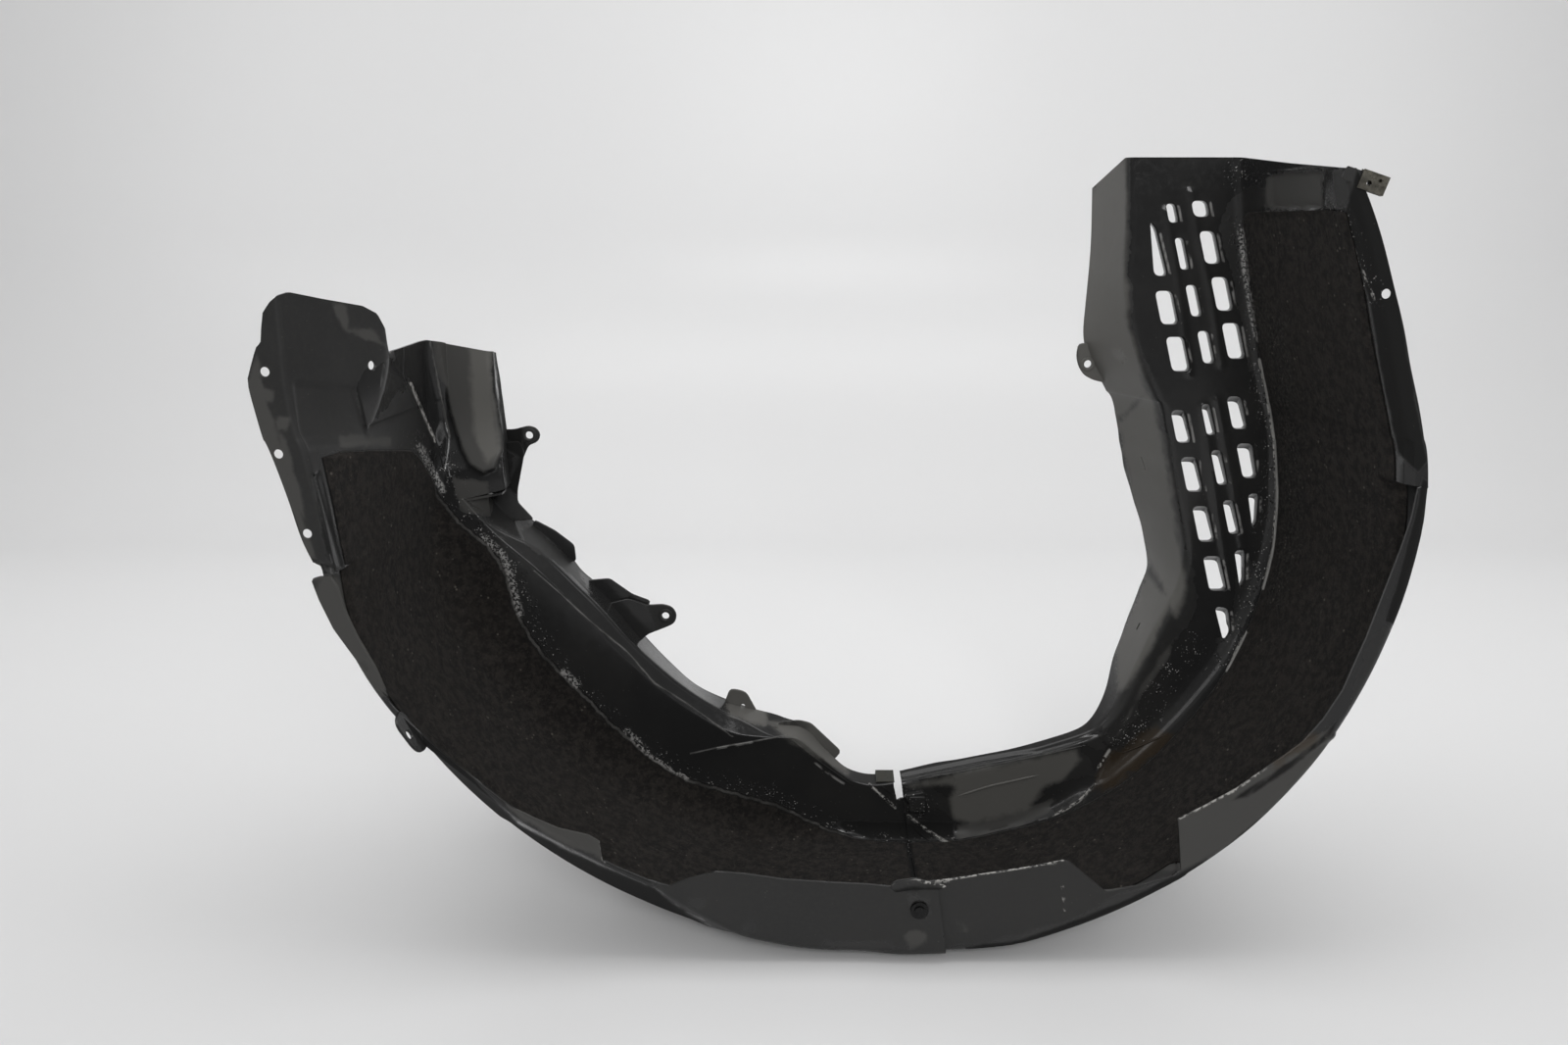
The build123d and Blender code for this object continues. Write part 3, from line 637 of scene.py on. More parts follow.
def hash_noise(p, seed=0):
    """Smooth value noise of points (any number of columns), -1 to 1."""
    p = np.asarray(p, float)
    i = np.floor(p).astype(np.int64)
    f = p - i
    f = f * f * (3 - 2 * f)
    out = np.zeros(p.shape[:-1])
    for corner in range(2 ** p.shape[-1]):
        w = np.ones(p.shape[:-1])
        h = np.full(p.shape[:-1], seed * 7919 + 17, np.int64)
        for k in range(p.shape[-1]):
            bit = corner >> k & 1
            w = w * (f[..., k] if bit else 1 - f[..., k])
            h = (h * 1000003) ^ ((i[..., k] + bit) * 374761393 + k * 668265263)
            h = h & 0x7FFFFFFF
        h = ((h ^ (h >> 13)) * 1274126177) & 0x7FFFFFFF
        h = (h ^ (h >> 16)) & 0xFFFF
        out += w * (h / 32767.5 - 1)
    return out


def press(gi, go, outline, depth, width):
    """Push an area, outlined in the frame's pixels, away from the wheel (or towards it)."""
    uv = seen(gi)
    k = smooth(signed(uv, outline) / width + 0.5) * depth
    n = go - gi
    n /= np.maximum(np.linalg.norm(n, axis=2), 1e-9)[..., None]
    return gi + n * k[..., None], go + n * k[..., None]


def groove(gi, go, line, depth, width):
    """Push a strip along a line of pixels away from the wheel."""
    uv = seen(gi)
    d = line_dist(uv.reshape(-1, 2), line).reshape(uv.shape[:2])
    k = smooth(1 - d / width) * depth
    n = go - gi
    n /= np.maximum(np.linalg.norm(n, axis=2), 1e-9)[..., None]
    return gi + n * k[..., None], go + n * k[..., None]


def surf(g_in, g_out, u, v, c0=25):
    """Point of a moulding's wheel side under a pixel, and the way that side faces."""
    q = seen(g_in[:, c0:])
    i, j = np.unravel_index(np.argmin(np.hypot(q[..., 0] - u, q[..., 1] - v)), q.shape[:2])
    p0 = g_in[i, c0 + j]
    n = p0 - g_out[i, c0 + j]
    n = n / np.linalg.norm(n)
    d = np.array([(u - 800) / FOCAL, 0, 0]) + AX_F - (v - 533) / FOCAL * AX_U
    t = ((p0 - CAM) @ n) / (d @ n)
    p = CAM + d * t
    if np.linalg.norm(p - p0) > 8:
        p = p0
    return p, n


def rib(mesh, g_in, g_out, line, width, height, step=6.0):
    """Raised rib along a line of pixels."""
    px = resample(line, step)
    hit = [surf(g_in, g_out, u, v) for u, v in px]
    pts = np.array([h[0] for h in hit])
    n = np.array([h[1] for h in hit]).mean(0)
    ridge_line(mesh, pts, width, height, n)


def fleece(rows, poly, start_y, n, calm, wave=0.0, bare=None):
    """Fleece lying on rows of wheel-side points: out to an outline in pixels, from a depth start_y.
    Its far edge is evened out between the two rows that calm names, then made uneven by wave.
    Between two columns of pixels, bare starts it deeper."""
    run, nrm = [], []
    for line, nl in rows:
        i0 = int(np.argmax(line[:, 1] >= start_y))
        k = max(i0 - 1, 0)
        t = float(np.clip((start_y - line[k, 1]) / max(line[i0, 1] - line[k, 1], 1e-6), 0.0, 0.98))
        sub = np.vstack([line[k] * (1 - t) + line[i0] * t, line[i0:]])
        sn = np.vstack([nl[k] * (1 - t) + nl[i0] * t, nl[i0:]])
        d = signed(seen(sub), poly)
        inn = d > 0
        last = len(sub) - 1
        if inn.any():
            first_in = int(np.argmax(inn))
            outs = np.nonzero(~inn[first_in:])[0]
            last = first_in + int(outs[0]) if len(outs) else len(sub) - 1
        seg = np.concatenate([[0], np.cumsum(np.linalg.norm(np.diff(sub, axis=0), axis=1))])
        end = seg[last]
        if 0 < last and not inn[last] and inn[last - 1]:
            w = d[last - 1] / (d[last - 1] - d[last])
            end = seg[last - 1] + (seg[last] - seg[last - 1]) * w
        skip = 0.0
        if bare is not None:
            u = seen(sub[0])[0]
            skip = bare[2] * float(smooth((u - bare[0]) / 14.0) * smooth((bare[1] - u) / 14.0))
        run.append((sub, sn, seg, end, skip))
    ends = np.array([r[3] for r in run])
    raw = ends
    for k in (4, 9):
        pad = np.concatenate([np.full(k, ends[0]), ends, np.full(k, ends[-1])])
        ends = np.convolve(pad, np.ones(2 * k + 1) / (2 * k + 1), "valid")
    w = smooth((np.arange(len(ends)) - calm[0]) / 8.0) * smooth((calm[1] - np.arange(len(ends))) / 8.0)
    ends = raw * (1 - w) + ends * w
    i = np.arange(len(ends))
    ends = ends + wave * (np.sin(0.83 * i) + 0.7 * np.sin(2.1 * i + 1.0) + 0.6 * np.sin(0.31 * i + 2.0))
    pts = []
    for (sub, sn, seg, _, skip), end in zip(run, ends):
        q = np.clip(np.linspace(skip, end, n), 0, seg[-1])
        pts.append(np.stack([np.interp(q, seg, sub[:, c]) for c in range(3)], 1))
        m = np.stack([np.interp(q, seg, sn[:, c]) for c in range(3)], 1)
        nrm.append(m / np.linalg.norm(m, axis=1)[:, None])
    return np.array(pts), np.array(nrm)


def fleece_object(name, pts, nrm, gap, thick, seed, taper=7.0):
    """Closed, softly rough sheet from a grid of points on the moulding."""
    r, c = pts.shape[:2]
    step_u = np.linalg.norm(np.diff(pts, axis=1), axis=2)
    su = np.concatenate([np.zeros((r, 1)), np.cumsum(step_u, 1)], 1)
    step_v = np.linalg.norm(np.diff(pts, axis=0), axis=2)
    sv = np.concatenate([np.zeros((1, c)), np.cumsum(step_v, 0)], 0)
    edge = np.minimum(np.minimum(su, su[:, -1:] - su), 3.0 * np.minimum(sv, sv[-1:] - sv))
    far = su[:, -1:] - su
    w = hash_noise(pts / 26.0, seed) * 0.22 + hash_noise(pts / 7.0, seed + 1) * 0.22 + hash_noise(pts / 2.6, seed + 2) * 0.2
    body = thick * (0.28 + 0.72 * smooth(edge / taper))
    bead = 0.8 * np.exp(-((far - 3.2) / 1.7) ** 2) * (1 + 0.6 * hash_noise(pts / 5.0, seed + 3))
    top = gap + body + bead + w * smooth(edge / 3.0)
    m = Mesh()
    m.sheet(pts + nrm * top[..., None], pts + nrm * gap)
    return m, edge, far


# ================================================================ rear moulding
rear = Mesh()
rows = [a for a in row_angles(-166, SEAM, 0.40, REAR_LIP)]
REAR_FLATS = (5, 5, 34, 20, 5, 9)


def rear_section(a):
    """The rear wall ends in a fine crease, a strip that leans back and a rolled edge before the return flange."""
    root, sh, heel, y, ridge, ret, rety, hr = rear_numbers(a)[0]
    m = 0.9 + 12.5 * float(smooth((a + 163.0) / 8.0) * smooth((-103.0 - a) / 8.0))
    corners = [(lip_edge(REAR_LIP, a, root), SHEET), (root, SHEET), (sh, 40.0), (heel, y), (ridge, y),
               (ridge - m, y + 0.65 * m), (ret, rety)]
    return section(corners, [6.0, 22.0, hr, 1.5, 7.0], REAR_FLATS, NB)


def front_section(a):
    return crown_section(a, front_numbers, FRONT_LIP)


def seam_shift(n, crown, top):
    """How far the division between the halves moves round the arch in each column, in degrees."""
    return np.interp(np.arange(n), [12, 26, 62, 84], [0.0, crown, crown, top])


REAR_SHIFT = seam_shift(len(rear_section(-120.0)), 2.2, 1.3)
FRONT_SHIFT = seam_shift(len(front_section(-60.0)), 1.9, 1.8)


def turned(angles, cross):
    """Section of one row whose columns lie at their own angles."""
    lo, hi = float(angles.min()), float(angles.max())
    s = cross(lo)
    if hi - lo > 1e-6:
        w = ((angles - lo) / (hi - lo))[:, None]
        s = s * (1 - w) + cross(hi) * w
    return s


def put_cols(angles, line):
    ang = np.radians(angles)
    return np.stack([ARCH_X + line[:, 0] * np.cos(ang), line[:, 1], ARCH_Z + line[:, 0] * np.sin(ang)], 1)


def rear_lift(angles):
    """Lap offset: the lip eases out over a few degrees, the rest steps."""
    lip = np.clip((24 - np.arange(len(angles))) / 14.0, 0, 1)
    return LAP * (lip * smooth((angles + 91.5) / 5.4) + (1 - lip) * smooth((angles - SEAM - REAR_SHIFT) / 0.5))


def rear_grids(angles):
    inner, outer = [], []
    for row in angles:
        s = turned(row, rear_section)
        k = rear_lift(row)
        inner.append(put_cols(row, push(s, k)))
        outer.append(put_cols(row, push(s, k + SHEET)))
    return np.array(inner), np.array(outer)


def front_grids(angles):
    inner, outer = [], []
    for row in angles:
        s = turned(row, front_section)
        inner.append(put_cols(row, s))
        outer.append(put_cols(row, push(s, np.full(len(s), SHEET))))
    return np.array(inner), np.array(outer)


ri, ro = rear_grids(np.array(rows)[:, None] + REAR_SHIFT * smooth((np.array(rows)[:, None] + 97.0) / 11.1))
# steps and creases of the lip, the wall under the tower and the gusset at the tabs
ri, ro = groove(ri, ro, [(492, 800), (530, 832), (575, 858), (618, 880), (665, 902)], 1.2, 5.0)
ri, ro = press(ri, ro, [(616, 856), (640, 862), (668, 898), (690, 925), (745, 958), (700, 960), (640, 925), (560, 880), (500, 830), (530, 838), (600, 872), (617, 880)], -1.5, 6.0)
rear.sheet(ri, ro)

# lap strip behind the front moulding
lap_start = SEAM + REAR_SHIFT
lap_rows = [lap_start - 0.5, lap_start, lap_start + 0.25]
lap_rows += [lap_start + 0.5 + f * (SEAM_END - lap_start - 0.5) for f in np.linspace(0, 1, 9)]
li, lo = rear_grids(np.array(lap_rows))
last = sum(CROWN_FLATS[:3]) + 3 * NB - 3 + 13
rear.sheet(li[:, :last], lo[:, :last])

# leg, up to the flap and the top of the tower
leg_s = [0]
for p, q in zip(REAR_LEG[:-1], REAR_LEG[1:]):
    leg_s.append(leg_s[-1] + (abs(q[0] - p[0]) * 7.4 if q[0] != p[0] else q[1] - p[1]))
leg_numbers = spline(leg_s, [r for r in REAR_LEG])
LEG_FLATS = (16, 44, 40, 8, 30, 16)
LEG_TOP = [(230, 319), (268, 319), (271, 314), (275, 308), (282, 302),
           (295, 298), (330, 305), (370, 312), (385, 320), (393, 335), (396, 355), (398, 361), (438, 347), (498, 358),
           (540, 366)]


TONGUE = [(440, 330), (499, 330), (505, 400), (512, 445), (512, 460), (505, 478), (493, 483), (480, 475), (470, 455),
          (460, 420), (447, 375)]


FLANGE_TOP = [(46, 472.0), (56, 468.5), (64, 465.5), (70.5, 462.7), (72.0, 459.8), (83, 458.2), (94, 456.0), (113, 452.0)]


def leg_section(s):
    a, rise, flange, fold, br, by, heel, ridge, ret, wall = leg_numbers(s)[0]
    if rise > 46.0:
        flange = float(np.interp(rise, [p[0] for p in FLANGE_TOP], [p[1] for p in FLANGE_TOP]))
    corners = [(flange, 0.0), (fold, 0.0), (br, by), (heel, 213.0), (heel - 9.0, wall), (ridge, wall), (ret, 262.0)]
    hr = 24 - 15 * float(smooth((-168.0 - a) / 5.0)) if s < leg_s[3] else 9.0
    return section(corners, [6.0, 22.0, hr, 5.0, 4.0], LEG_FLATS, NB)


lines = [(max(leg_numbers(s)[0][0], -180.0), leg_section(s)) for s in np.arange(0, leg_s[3], 2.0)]
rises = np.arange(0, 113.0, 1.0)
stack = np.array([leg_section(leg_s[3] + h) for h in rises])
world = np.stack([ARCH_X - stack[..., 0], stack[..., 1], ARCH_Z + rises[:, None] + 0 * stack[..., 0]], -1)
uv = seen(world)
gap_v = uv[..., 1] - np.interp(uv[..., 0], [p[0] for p in LEG_TOP], [p[1] for p in LEG_TOP])
top_rise = np.empty(stack.shape[1])
for j in range(stack.shape[1]):
    k = int(np.argmax(gap_v[:, j] <= 0)) if (gap_v[:, j] <= 0).any() else len(rises) - 1
    top_rise[j] = rises[k] if k == 0 else rises[k - 1] + gap_v[k - 1, j] / max(gap_v[k - 1, j] - gap_v[k, j], 1e-6)
gi, go = [], []
for a, line in lines:
    gi.append(put(a, 0, line))
    go.append(put(a, 0, push(line, np.full(len(line), SHEET))))
for f in np.linspace(0, 1, 46):
    h = np.clip(f * top_rise, 0, rises[-1] - 1e-6)
    k = h.astype(int)
    w = (h - k)[:, None]
    cols = np.arange(len(h))
    line = stack[k, cols] * (1 - w) + stack[k + 1, cols] * w
    for g, q in ((gi, line), (go, push(line, np.full(len(line), SHEET)))):
        p3 = put(-180.0, 0, q)
        p3[:, 2] = ARCH_Z + h
        g.append(p3)
gi, go = np.array(gi), np.array(go)
# embossed panel, recessed wall above the fleece and the dark recess beside the flange
gi, go = press(gi, go, [(300, 391), (361, 396), (370, 425), (378, 452), (316, 458), (306, 440)], 1.6, 3.5)
gi, go = press(gi, go, [(399, 340), (437, 340), (447, 385), (456, 430), (447, 451), (419, 391), (404, 375)], 5.0, 12.0)
gi, go = press(gi, go, TONGUE, -4.0, 5.0)
gi, go = groove(gi, go, [(326, 577), (340, 580), (353, 585)], 2.6, 4.5)
gi, go = press(gi, go, [(318, 486), (326, 482), (338, 530), (351, 578), (342, 584), (329, 540)], 2.2, 4.0)
leg_gi, leg_go = gi.copy(), go.copy()
leg = Mesh()
leg.sheet(gi[:, :95], go[:, :95])
rear.sheet(gi[:, 94:], go[:, 94:])
cut = Mesh()
for x, z in [(-386, 496), (-382, 434), (-366, 372)]:
    hole_cutter(cut, x, 0.0, z, 3.6, (0, 1, 0))
hole_cutter(cut, -332.5, 78.5, 492.4, 3.6, (-0.896, 0.443, 0))
NOTCH = [(-380, 334), (-356, 337), (-357, 344), (-362, 349), (-380, 349)]
prism(cut, NOTCH, -6.0, 22.0, (), 0.3)
v, f = carve(leg, cut)
rear.add(v, f)

# ears, tabs, tower floor and the lug of the lip
prism(rear, rounded(EAR_1, 4), 258.5, 261.5, [circle(-247, 405.5, 3.7)], 0.8)
prism(rear, rounded(EAR_2, 4), 258.5, 261.5, [circle(-119, 222, 3.7)], 0.8)
prism(rear, rounded(TAB_3, 4), 250, 252.4, [circle(-42, 128, 2.4, 12)], 0.7)
prism(rear, rounded(TAB_4, 4), 231, 233.4, (), 0.7)
for x, z in ((-247, 405.5), (-119, 222)):
    ring(rear, (x, 258.6, z), (0, -1, 0), [(0, 3.75), (0, 7.4), (0.9, 7.1), (1.2, 6.4), (1.2, 4.4), (0.8, 3.75)])
prism(rear, [(-266, 358), (-266, 355.5), (-308, 347.5), (-308, 350.5)], 216, 260, (), 0.4)
# facet under the tower and the fin between the tower and the return flange
q = [surf(leg_gi, leg_go, 463, 487)[0], surf(leg_gi, leg_go, 497, 491)[0], surf(ri, ro, 500, 523)[0], surf(ri, ro, 473, 523)[0]]
plate3(rear, q, 2.0)
FIN = [(509, 452), (530, 450), (535, 462), (528, 500), (528, 512), (545, 530), (520, 532), (500, 524), (499, 492)]
prism(rear, rounded([tuple(at(u, v, 247.0)[[0, 2]]) for u, v in FIN], 3), 247, 249.2, (), 0.6)
# small steps of the far edge
for line in ([(545, 530), (566, 541), (586, 556), (588, 573), (572, 573), (540, 548)],
             [(598, 592), (622, 590), (645, 606), (664, 613), (656, 632), (620, 614)]):
    prism(rear, rounded([tuple(at(u, v, 263.0)[[0, 2]]) for u, v in line], 3), 263, 265.2, (), 0.6)
# start of the lip below the notch
START = [(317, 591), (326, 588), (338, 588), (345, 600), (352, 622), (364, 648), (384, 682), (397, 712), (388, 704), (362, 672),
         (340, 642), (325, 612)]
prism(rear, rounded([tuple(at(u, v, 0.0)[[0, 2]]) for u, v in START], 2), -0.4, 2.6, (), 0.7)
la = math.radians(-147.6)
rad = np.array([math.cos(la), 0, math.sin(la)])
slab(rear, rounded([(-10.5, -16), (12.5, -20), (12.5, 20), (-10.5, 16)], 10, 8), SHEET, [circle(-3, 0, 3.4)],
     np.array([ARCH_X, -6, ARCH_Z]) + 437.5 * rad, (0, 1, 0), (-rad[2], 0, rad[0]), rad, 0.7)

# ================================================================ front moulding
front = Mesh()
SPLIT = -40.0
rows_f = row_angles(FRONT_START, -5, 0.33, FRONT_LIP)
rows_f = sorted(set([r for r in rows_f if abs(r - SPLIT) > 0.1] + [SPLIT]))
fi, fo = front_grids(np.array(rows_f)[:, None] + FRONT_SHIFT * (1 - smooth((np.array(rows_f)[:, None] - FRONT_START) / 9.0)))
k_split = rows_f.index(SPLIT)

fl_s = [0]
for p, q in zip(FRONT_LEG[:-1], FRONT_LEG[1:]):
    fl_s.append(fl_s[-1] + (abs(q[0] - p[0]) * 6.9 if q[0] != p[0] else q[1] - p[1]))
fleg_numbers = spline(fl_s, [r for r in FRONT_LEG])
TOP_FRONT = [(-20, 641), (0, 641.5), (100, 650), (211, 661), (218, 661), (300, 632)]
FLEG_FLATS = (10, 5, 34, 40, 20)
gi, go = [], []
frows = list(np.arange(0, fl_s[1], 2.5)) + list(np.linspace(fl_s[1], fl_s[1] + 216, 100))
for s in frows:
    a, rise, flange, fold, br, heel, ridge, ret = fleg_numbers(s)[0]
    a = min(a, 0.0) if s < fl_s[1] else 0.0
    f = max(0.0, (s - fl_s[1]) / 216)
    if f > 0:
        # the outer edge ends lower than the inner wall, so its widths are read at its own heights
        flange, fold = fleg_numbers(fl_s[1] + 196.5 * f)[0][2:4]
        br = fleg_numbers(fl_s[1] + 200.0 * f)[0][4]
    corners = [(flange, 0.0), (fold, 0.0), (br, 40.0), (heel, 211.0), (ridge, 211.0), (ret, 285.0)]
    line = section(corners, [6.0, 22.0, 9.0, 9.0], FLEG_FLATS, NB)
    out = push(line, np.full(len(line), SHEET))
    pi, po = put(a, 0, line), put(a, 0, out)
    if f > 0:
        for g in (pi, po):
            g[:, 2] += f * (np.interp(g[:, 1], [p[0] for p in TOP_FRONT], [p[1] for p in TOP_FRONT]) - ARCH_Z)
    gi.append(pi)
    go.append(po)
gi, go = np.array(gi), np.array(go)


def vent_wall(g_in, g_out):
    """Deep bars behind the vent field and soft upright ribs between the openings."""
    xz = g_out[..., [0, 2]]
    d = signed(xz, VENT_FIELD)
    wall = (np.abs(g_in[..., 1] - 211.0) < 0.4)
    k = smooth(d / 3.0 + 0.5) * wall
    g_out = g_out.copy()
    g_out[..., 1] += k * 7.8
    uv = seen(g_in)
    rib = np.zeros(uv.shape[:2])
    for line in ([(1228, 415), (1232, 450), (1240, 500), (1249, 560), (1254, 600)],
                 [(1242, 408), (1250, 450), (1260, 500), (1268, 560)],
                 [(1215, 190), (1222, 240), (1236, 300), (1246, 370)],
                 [(1190, 215), (1202, 290), (1213, 380)]):
        dd = line_dist(uv.reshape(-1, 2), line).reshape(uv.shape[:2])
        rib += np.exp(-(dd / 3.4) ** 2)
    g_in = g_in.copy()
    g_in[..., 1] -= 1.5 * np.clip(rib, 0, 1) * k
    return g_in, g_out


gi, go = vent_wall(gi, go)
# pocket at the top, recess in the flange and the facets along the outer edge
gi, go = press(gi, go, [(1293, 177), (1348, 176), (1349, 212), (1294, 213)], 3.0, 5.0)
gi, go = press(gi, go, [(1290, 212), (1352, 212), (1351, 219), (1290, 219)], -1.2, 5.0)
gi, go = press(gi, go, [(1434, 448), (1442, 452), (1441, 502), (1433, 498)], 2.0, 3.0)
fi, fo = groove(fi, fo, [(1258, 814), (1300, 786), (1357, 748)], 2.0, 5.0)
fi, fo = press(fi, fo, [(1126, 900), (1190, 873), (1200, 880), (1200, 893), (1132, 914)], 1.6, 5.0)
# creases of the low inner wall: a rolled rim, a long crease and the step to the right of it
fi, fo = groove(fi, fo, [(975, 858), (1040, 841), (1076, 832), (1100, 820), (1117, 801), (1133, 764)], 1.6, 5.0)
fi, fo = groove(fi, fo, [(922, 792), (1000, 776), (1060, 766), (1122, 748)], 1.3, 4.0)

cut = Mesh()
for quad in VENTS:
    base = np.array(rounded(quad, 5.2, 7))
    loops = []
    low = np.array(quad)[:, 1].mean() < 460
    zt, zb = base[:, 1].max(), base[:, 1].min()
    for y, grow in ((206.0, 5.2), (209.2, 2.1), (210.6, 0.95), (211.4, 0.35), (212.6, 0.0), (219.6, 0.0), (221.2, 0.5), (225.0, 3.0)):
        lp = offset_loop(base, grow)
        if low:
            drop = 5.5 * float(smooth((y - 213.0) / 7.0))
            lp[:, 1] -= drop * (lp[:, 1] - zb) / (zt - zb)
        loops.append(np.stack([lp[:, 0], np.full(len(lp), y), lp[:, 1]], 1))
    n, c = len(base), Mesh
    verts, faces = np.concatenate(loops), []
    for q in range(len(loops) - 1):
        for i in range(n):
            j = (i + 1) % n
            faces.append((q * n + i, q * n + j, (q + 1) * n + j, (q + 1) * n + i))
    faces.append(tuple(reversed(range(n))))
    faces.append(tuple(range((len(loops) - 1) * n, len(loops) * n)))
    cut.add(verts, faces, 0.0)
hole_cutter(cut, 441, 0.0, 553, 3.6, (0, 1, 0))
front_gi, front_go = gi.copy(), go.copy()
for (u0, v0), (u1, v1), wide in (((1164, 466), (1169, 480), 2.2), ((1163, 635), (1159, 643), 3.0)):
    grids = (gi, go) if v0 < 420 else (fi, fo)
    a0, n0 = surf(*grids, u0, v0, 60)
    a1, n1 = surf(*grids, u1, v1, 60)
    ex = (a1 - a0) / np.linalg.norm(a1 - a0)
    ez = np.cross(n0, ex)
    half = np.linalg.norm(a1 - a0) / 2
    slab(cut, rounded([(-half, -wide / 2), (half, -wide / 2), (half, wide / 2), (-half, wide / 2)], wide / 2), 16.0, (),
         (a0 + a1) / 2 + n0 * 6, ex, ez, -n0, 0.1, 0.0, 1.5)
part = Mesh()
part.sheet(gi, go)
v, f = carve(part, cut)
front.add(v, f)
ui, uo = vent_wall(fi[k_split:], fo[k_split:])
part = Mesh()
part.sheet(ui, uo)
v, f = carve(part, cut)
front.add(v, f)
front.sheet(fi[:k_split + 1], fo[:k_split + 1])
prism(front, rounded(EAR_FRONT, 4), 280.5, 283.5, [circle(296, 472, 3.7)], 0.8)
ring(front, (296, 280.6, 472), (0, -1, 0), [(0, 3.75), (0, 7.0), (0.9, 6.7), (1.2, 6.0), (1.2, 4.4), (0.8, 3.75)])
prism(front, rounded([(124, 36), (141, 36), (141, 53), (124, 53)], 2), 199, 208, (), 1.0)
# tab under the spring nut
ca, sa = math.cos(math.radians(18)), math.sin(math.radians(18))
slab(front, rounded([(-13, -5), (13, -5), (13, 5), (-13, 5)], 1.5), 2.0, [circle(6.5, -1.5, 2.4, 16)],
     (413, 0.1, 634.5), (ca, 0, -sa), (sa, 0, ca), (0, 1, 0), 0.4)

# ribs and creases that stand on the walls
rib(rear, ri, ro, [(887, 800), (900, 812), (914, 824)], 2.6, 2.2)
rib(rear, ri, ro, [(897, 800), (905, 806), (910, 811)], 1.8, 1.4)
rib(front, fi, fo, [(927, 832), (945, 846), (970, 862)], 2.6, 2.2)
rib(front, fi, fo, [(929, 842), (940, 852), (950, 859)], 1.8, 1.4)
rib(rear, ri, ro, [(545, 582), (572, 606), (600, 632), (640, 665), (668, 697), (700, 717), (725, 735), (748, 752)], 1.3, 0.7)
rib(rear, ri, ro, [(704, 769), (735, 762), (765, 757), (802, 750)], 2.2, 1.4)
rib(front, fi, fo, [(1146, 768), (1168, 759), (1190, 749)], 2.6, 1.4)
rib(rear, ri, ro, [(806, 753), (835, 776), (870, 801)], 2.0, 1.2)
rib(front, fi, fo, [(1073, 832), (1088, 825), (1102, 816), (1117, 800)], 2.2, 1.3)
rib(front, fi, fo, [(1121, 783), (1127, 773), (1132, 765)], 2.0, 1.2)
rib(front, fi, fo, [(930, 797), (1000, 783), (1060, 771), (1108, 760)], 2.2, 1.0)
rib(front, fi, fo, [(978, 812), (1010, 802), (1060, 791)], 3.0, 0.8)
rib(rear, leg_gi, leg_go, [(419, 391), (431, 420), (444, 450)], 1.6, 0.9)
rib(rear, leg_gi, leg_go, [(439, 349), (444, 375), (450, 405), (459, 446)], 1.5, 0.8)
rib(rear, leg_gi, leg_go, [(447, 456), (453, 478), (458, 497)], 1.5, 0.9)
rib(rear, leg_gi, leg_go, [(452, 455), (457, 475), (461, 497)], 1.5, 0.9)
# lug beside the slot and the hook that laps the lip at the seam
prism(front, rounded([tuple(at(u, v, 201.0)[[0, 2]]) for u, v in ((922, 812), (944, 808), (947, 826), (931, 827))], 2), 201, 208, (), 0.8)
HOOK = [(908, 904), (914, 899), (935, 896), (943, 899), (956, 901), (967, 904), (960, 908), (935, 908), (913, 911)]
prism(rear, rounded([tuple(at(u, v, -4.6)[[0, 2]]) for u, v in HOOK], 2), -4.6, -2.2, (), 0.7)

# ================================================================ fleece
FELT_R = [(200, 462), (325, 462), (380, 459), (418, 459), (427, 466), (440, 488), (453, 510), (468, 530), (494, 548),
          (513, 566), (521, 588), (527, 615), (535, 635), (548, 655), (563, 672), (581, 690), (600, 708), (620, 730),
          (640, 748), (655, 760), (670, 773), (690, 786), (710, 796), (735, 802), (760, 808), (785, 814), (805, 822),
          (825, 833), (850, 847), (870, 855), (890, 859), (930, 860), (1000, 860), (1000, 1300), (200, 1300)]
FELT_F = [(880, 860), (930, 860), (970, 858), (1000, 852), (1030, 845), (1060, 841), (1095, 828), (1125, 812), (1155, 794),
          (1190, 761), (1225, 722), (1252, 684), (1272, 645), (1287, 605), (1299, 560), (1303, 500), (1300, 450), (1292, 400),
          (1285, 365), (1278, 320), (1272, 270), (1268, 225), (1275, 216), (1360, 214), (1500, 214), (1500, 1300), (880, 1300)]


def unit(a, b):
    n = a - b
    return n / np.maximum(np.linalg.norm(n, axis=2), 1e-9)[..., None]


def keep_rows(grid_in, grid_out, order, poly, y0):
    out = []
    n = unit(grid_in, grid_out)
    for i in order:
        i0 = int(np.argmax(grid_in[i][:, 1] >= y0))
        if signed(seen(grid_in[i][i0:i0 + 1]), poly)[0] > 2.0:
            out.append((grid_in[i], n[i]))
    return out


felt_rows = keep_rows(leg_gi, leg_go, range(len(leg_gi) - 1, 0, -1), FELT_R, 17.0)
n_leg = len(felt_rows)
felt_rows += keep_rows(ri, ro, [i for i, a in enumerate(rows) if a < SEAM - 0.03], FELT_R, 17.0)
pts, nrm = fleece(felt_rows, FELT_R, 17.0, 96, (n_leg - 10, len(felt_rows)), 0.6)
felt_r, edge_r, far_r = fleece_object("rear_fleece", pts, nrm, 0.3, 2.6, 3)
flat_r = pts
felt_rows = keep_rows(fi, fo, [i for i, a in enumerate(rows_f) if FRONT_START + 0.03 < a < -5.2], FELT_F, 17.0)
n_crown = len(felt_rows)
felt_rows += keep_rows(front_gi, front_go, range(len(front_gi)), FELT_F, 17.0)
pts, nrm = fleece(felt_rows, FELT_F, 17.0, 90, (0, n_crown + 60), 0.0, (1114, 1212, 22.0))
felt_f, edge_f, far_f = fleece_object("front_fleece", pts, nrm, 0.3, 2.6, 11)
flat_f = pts


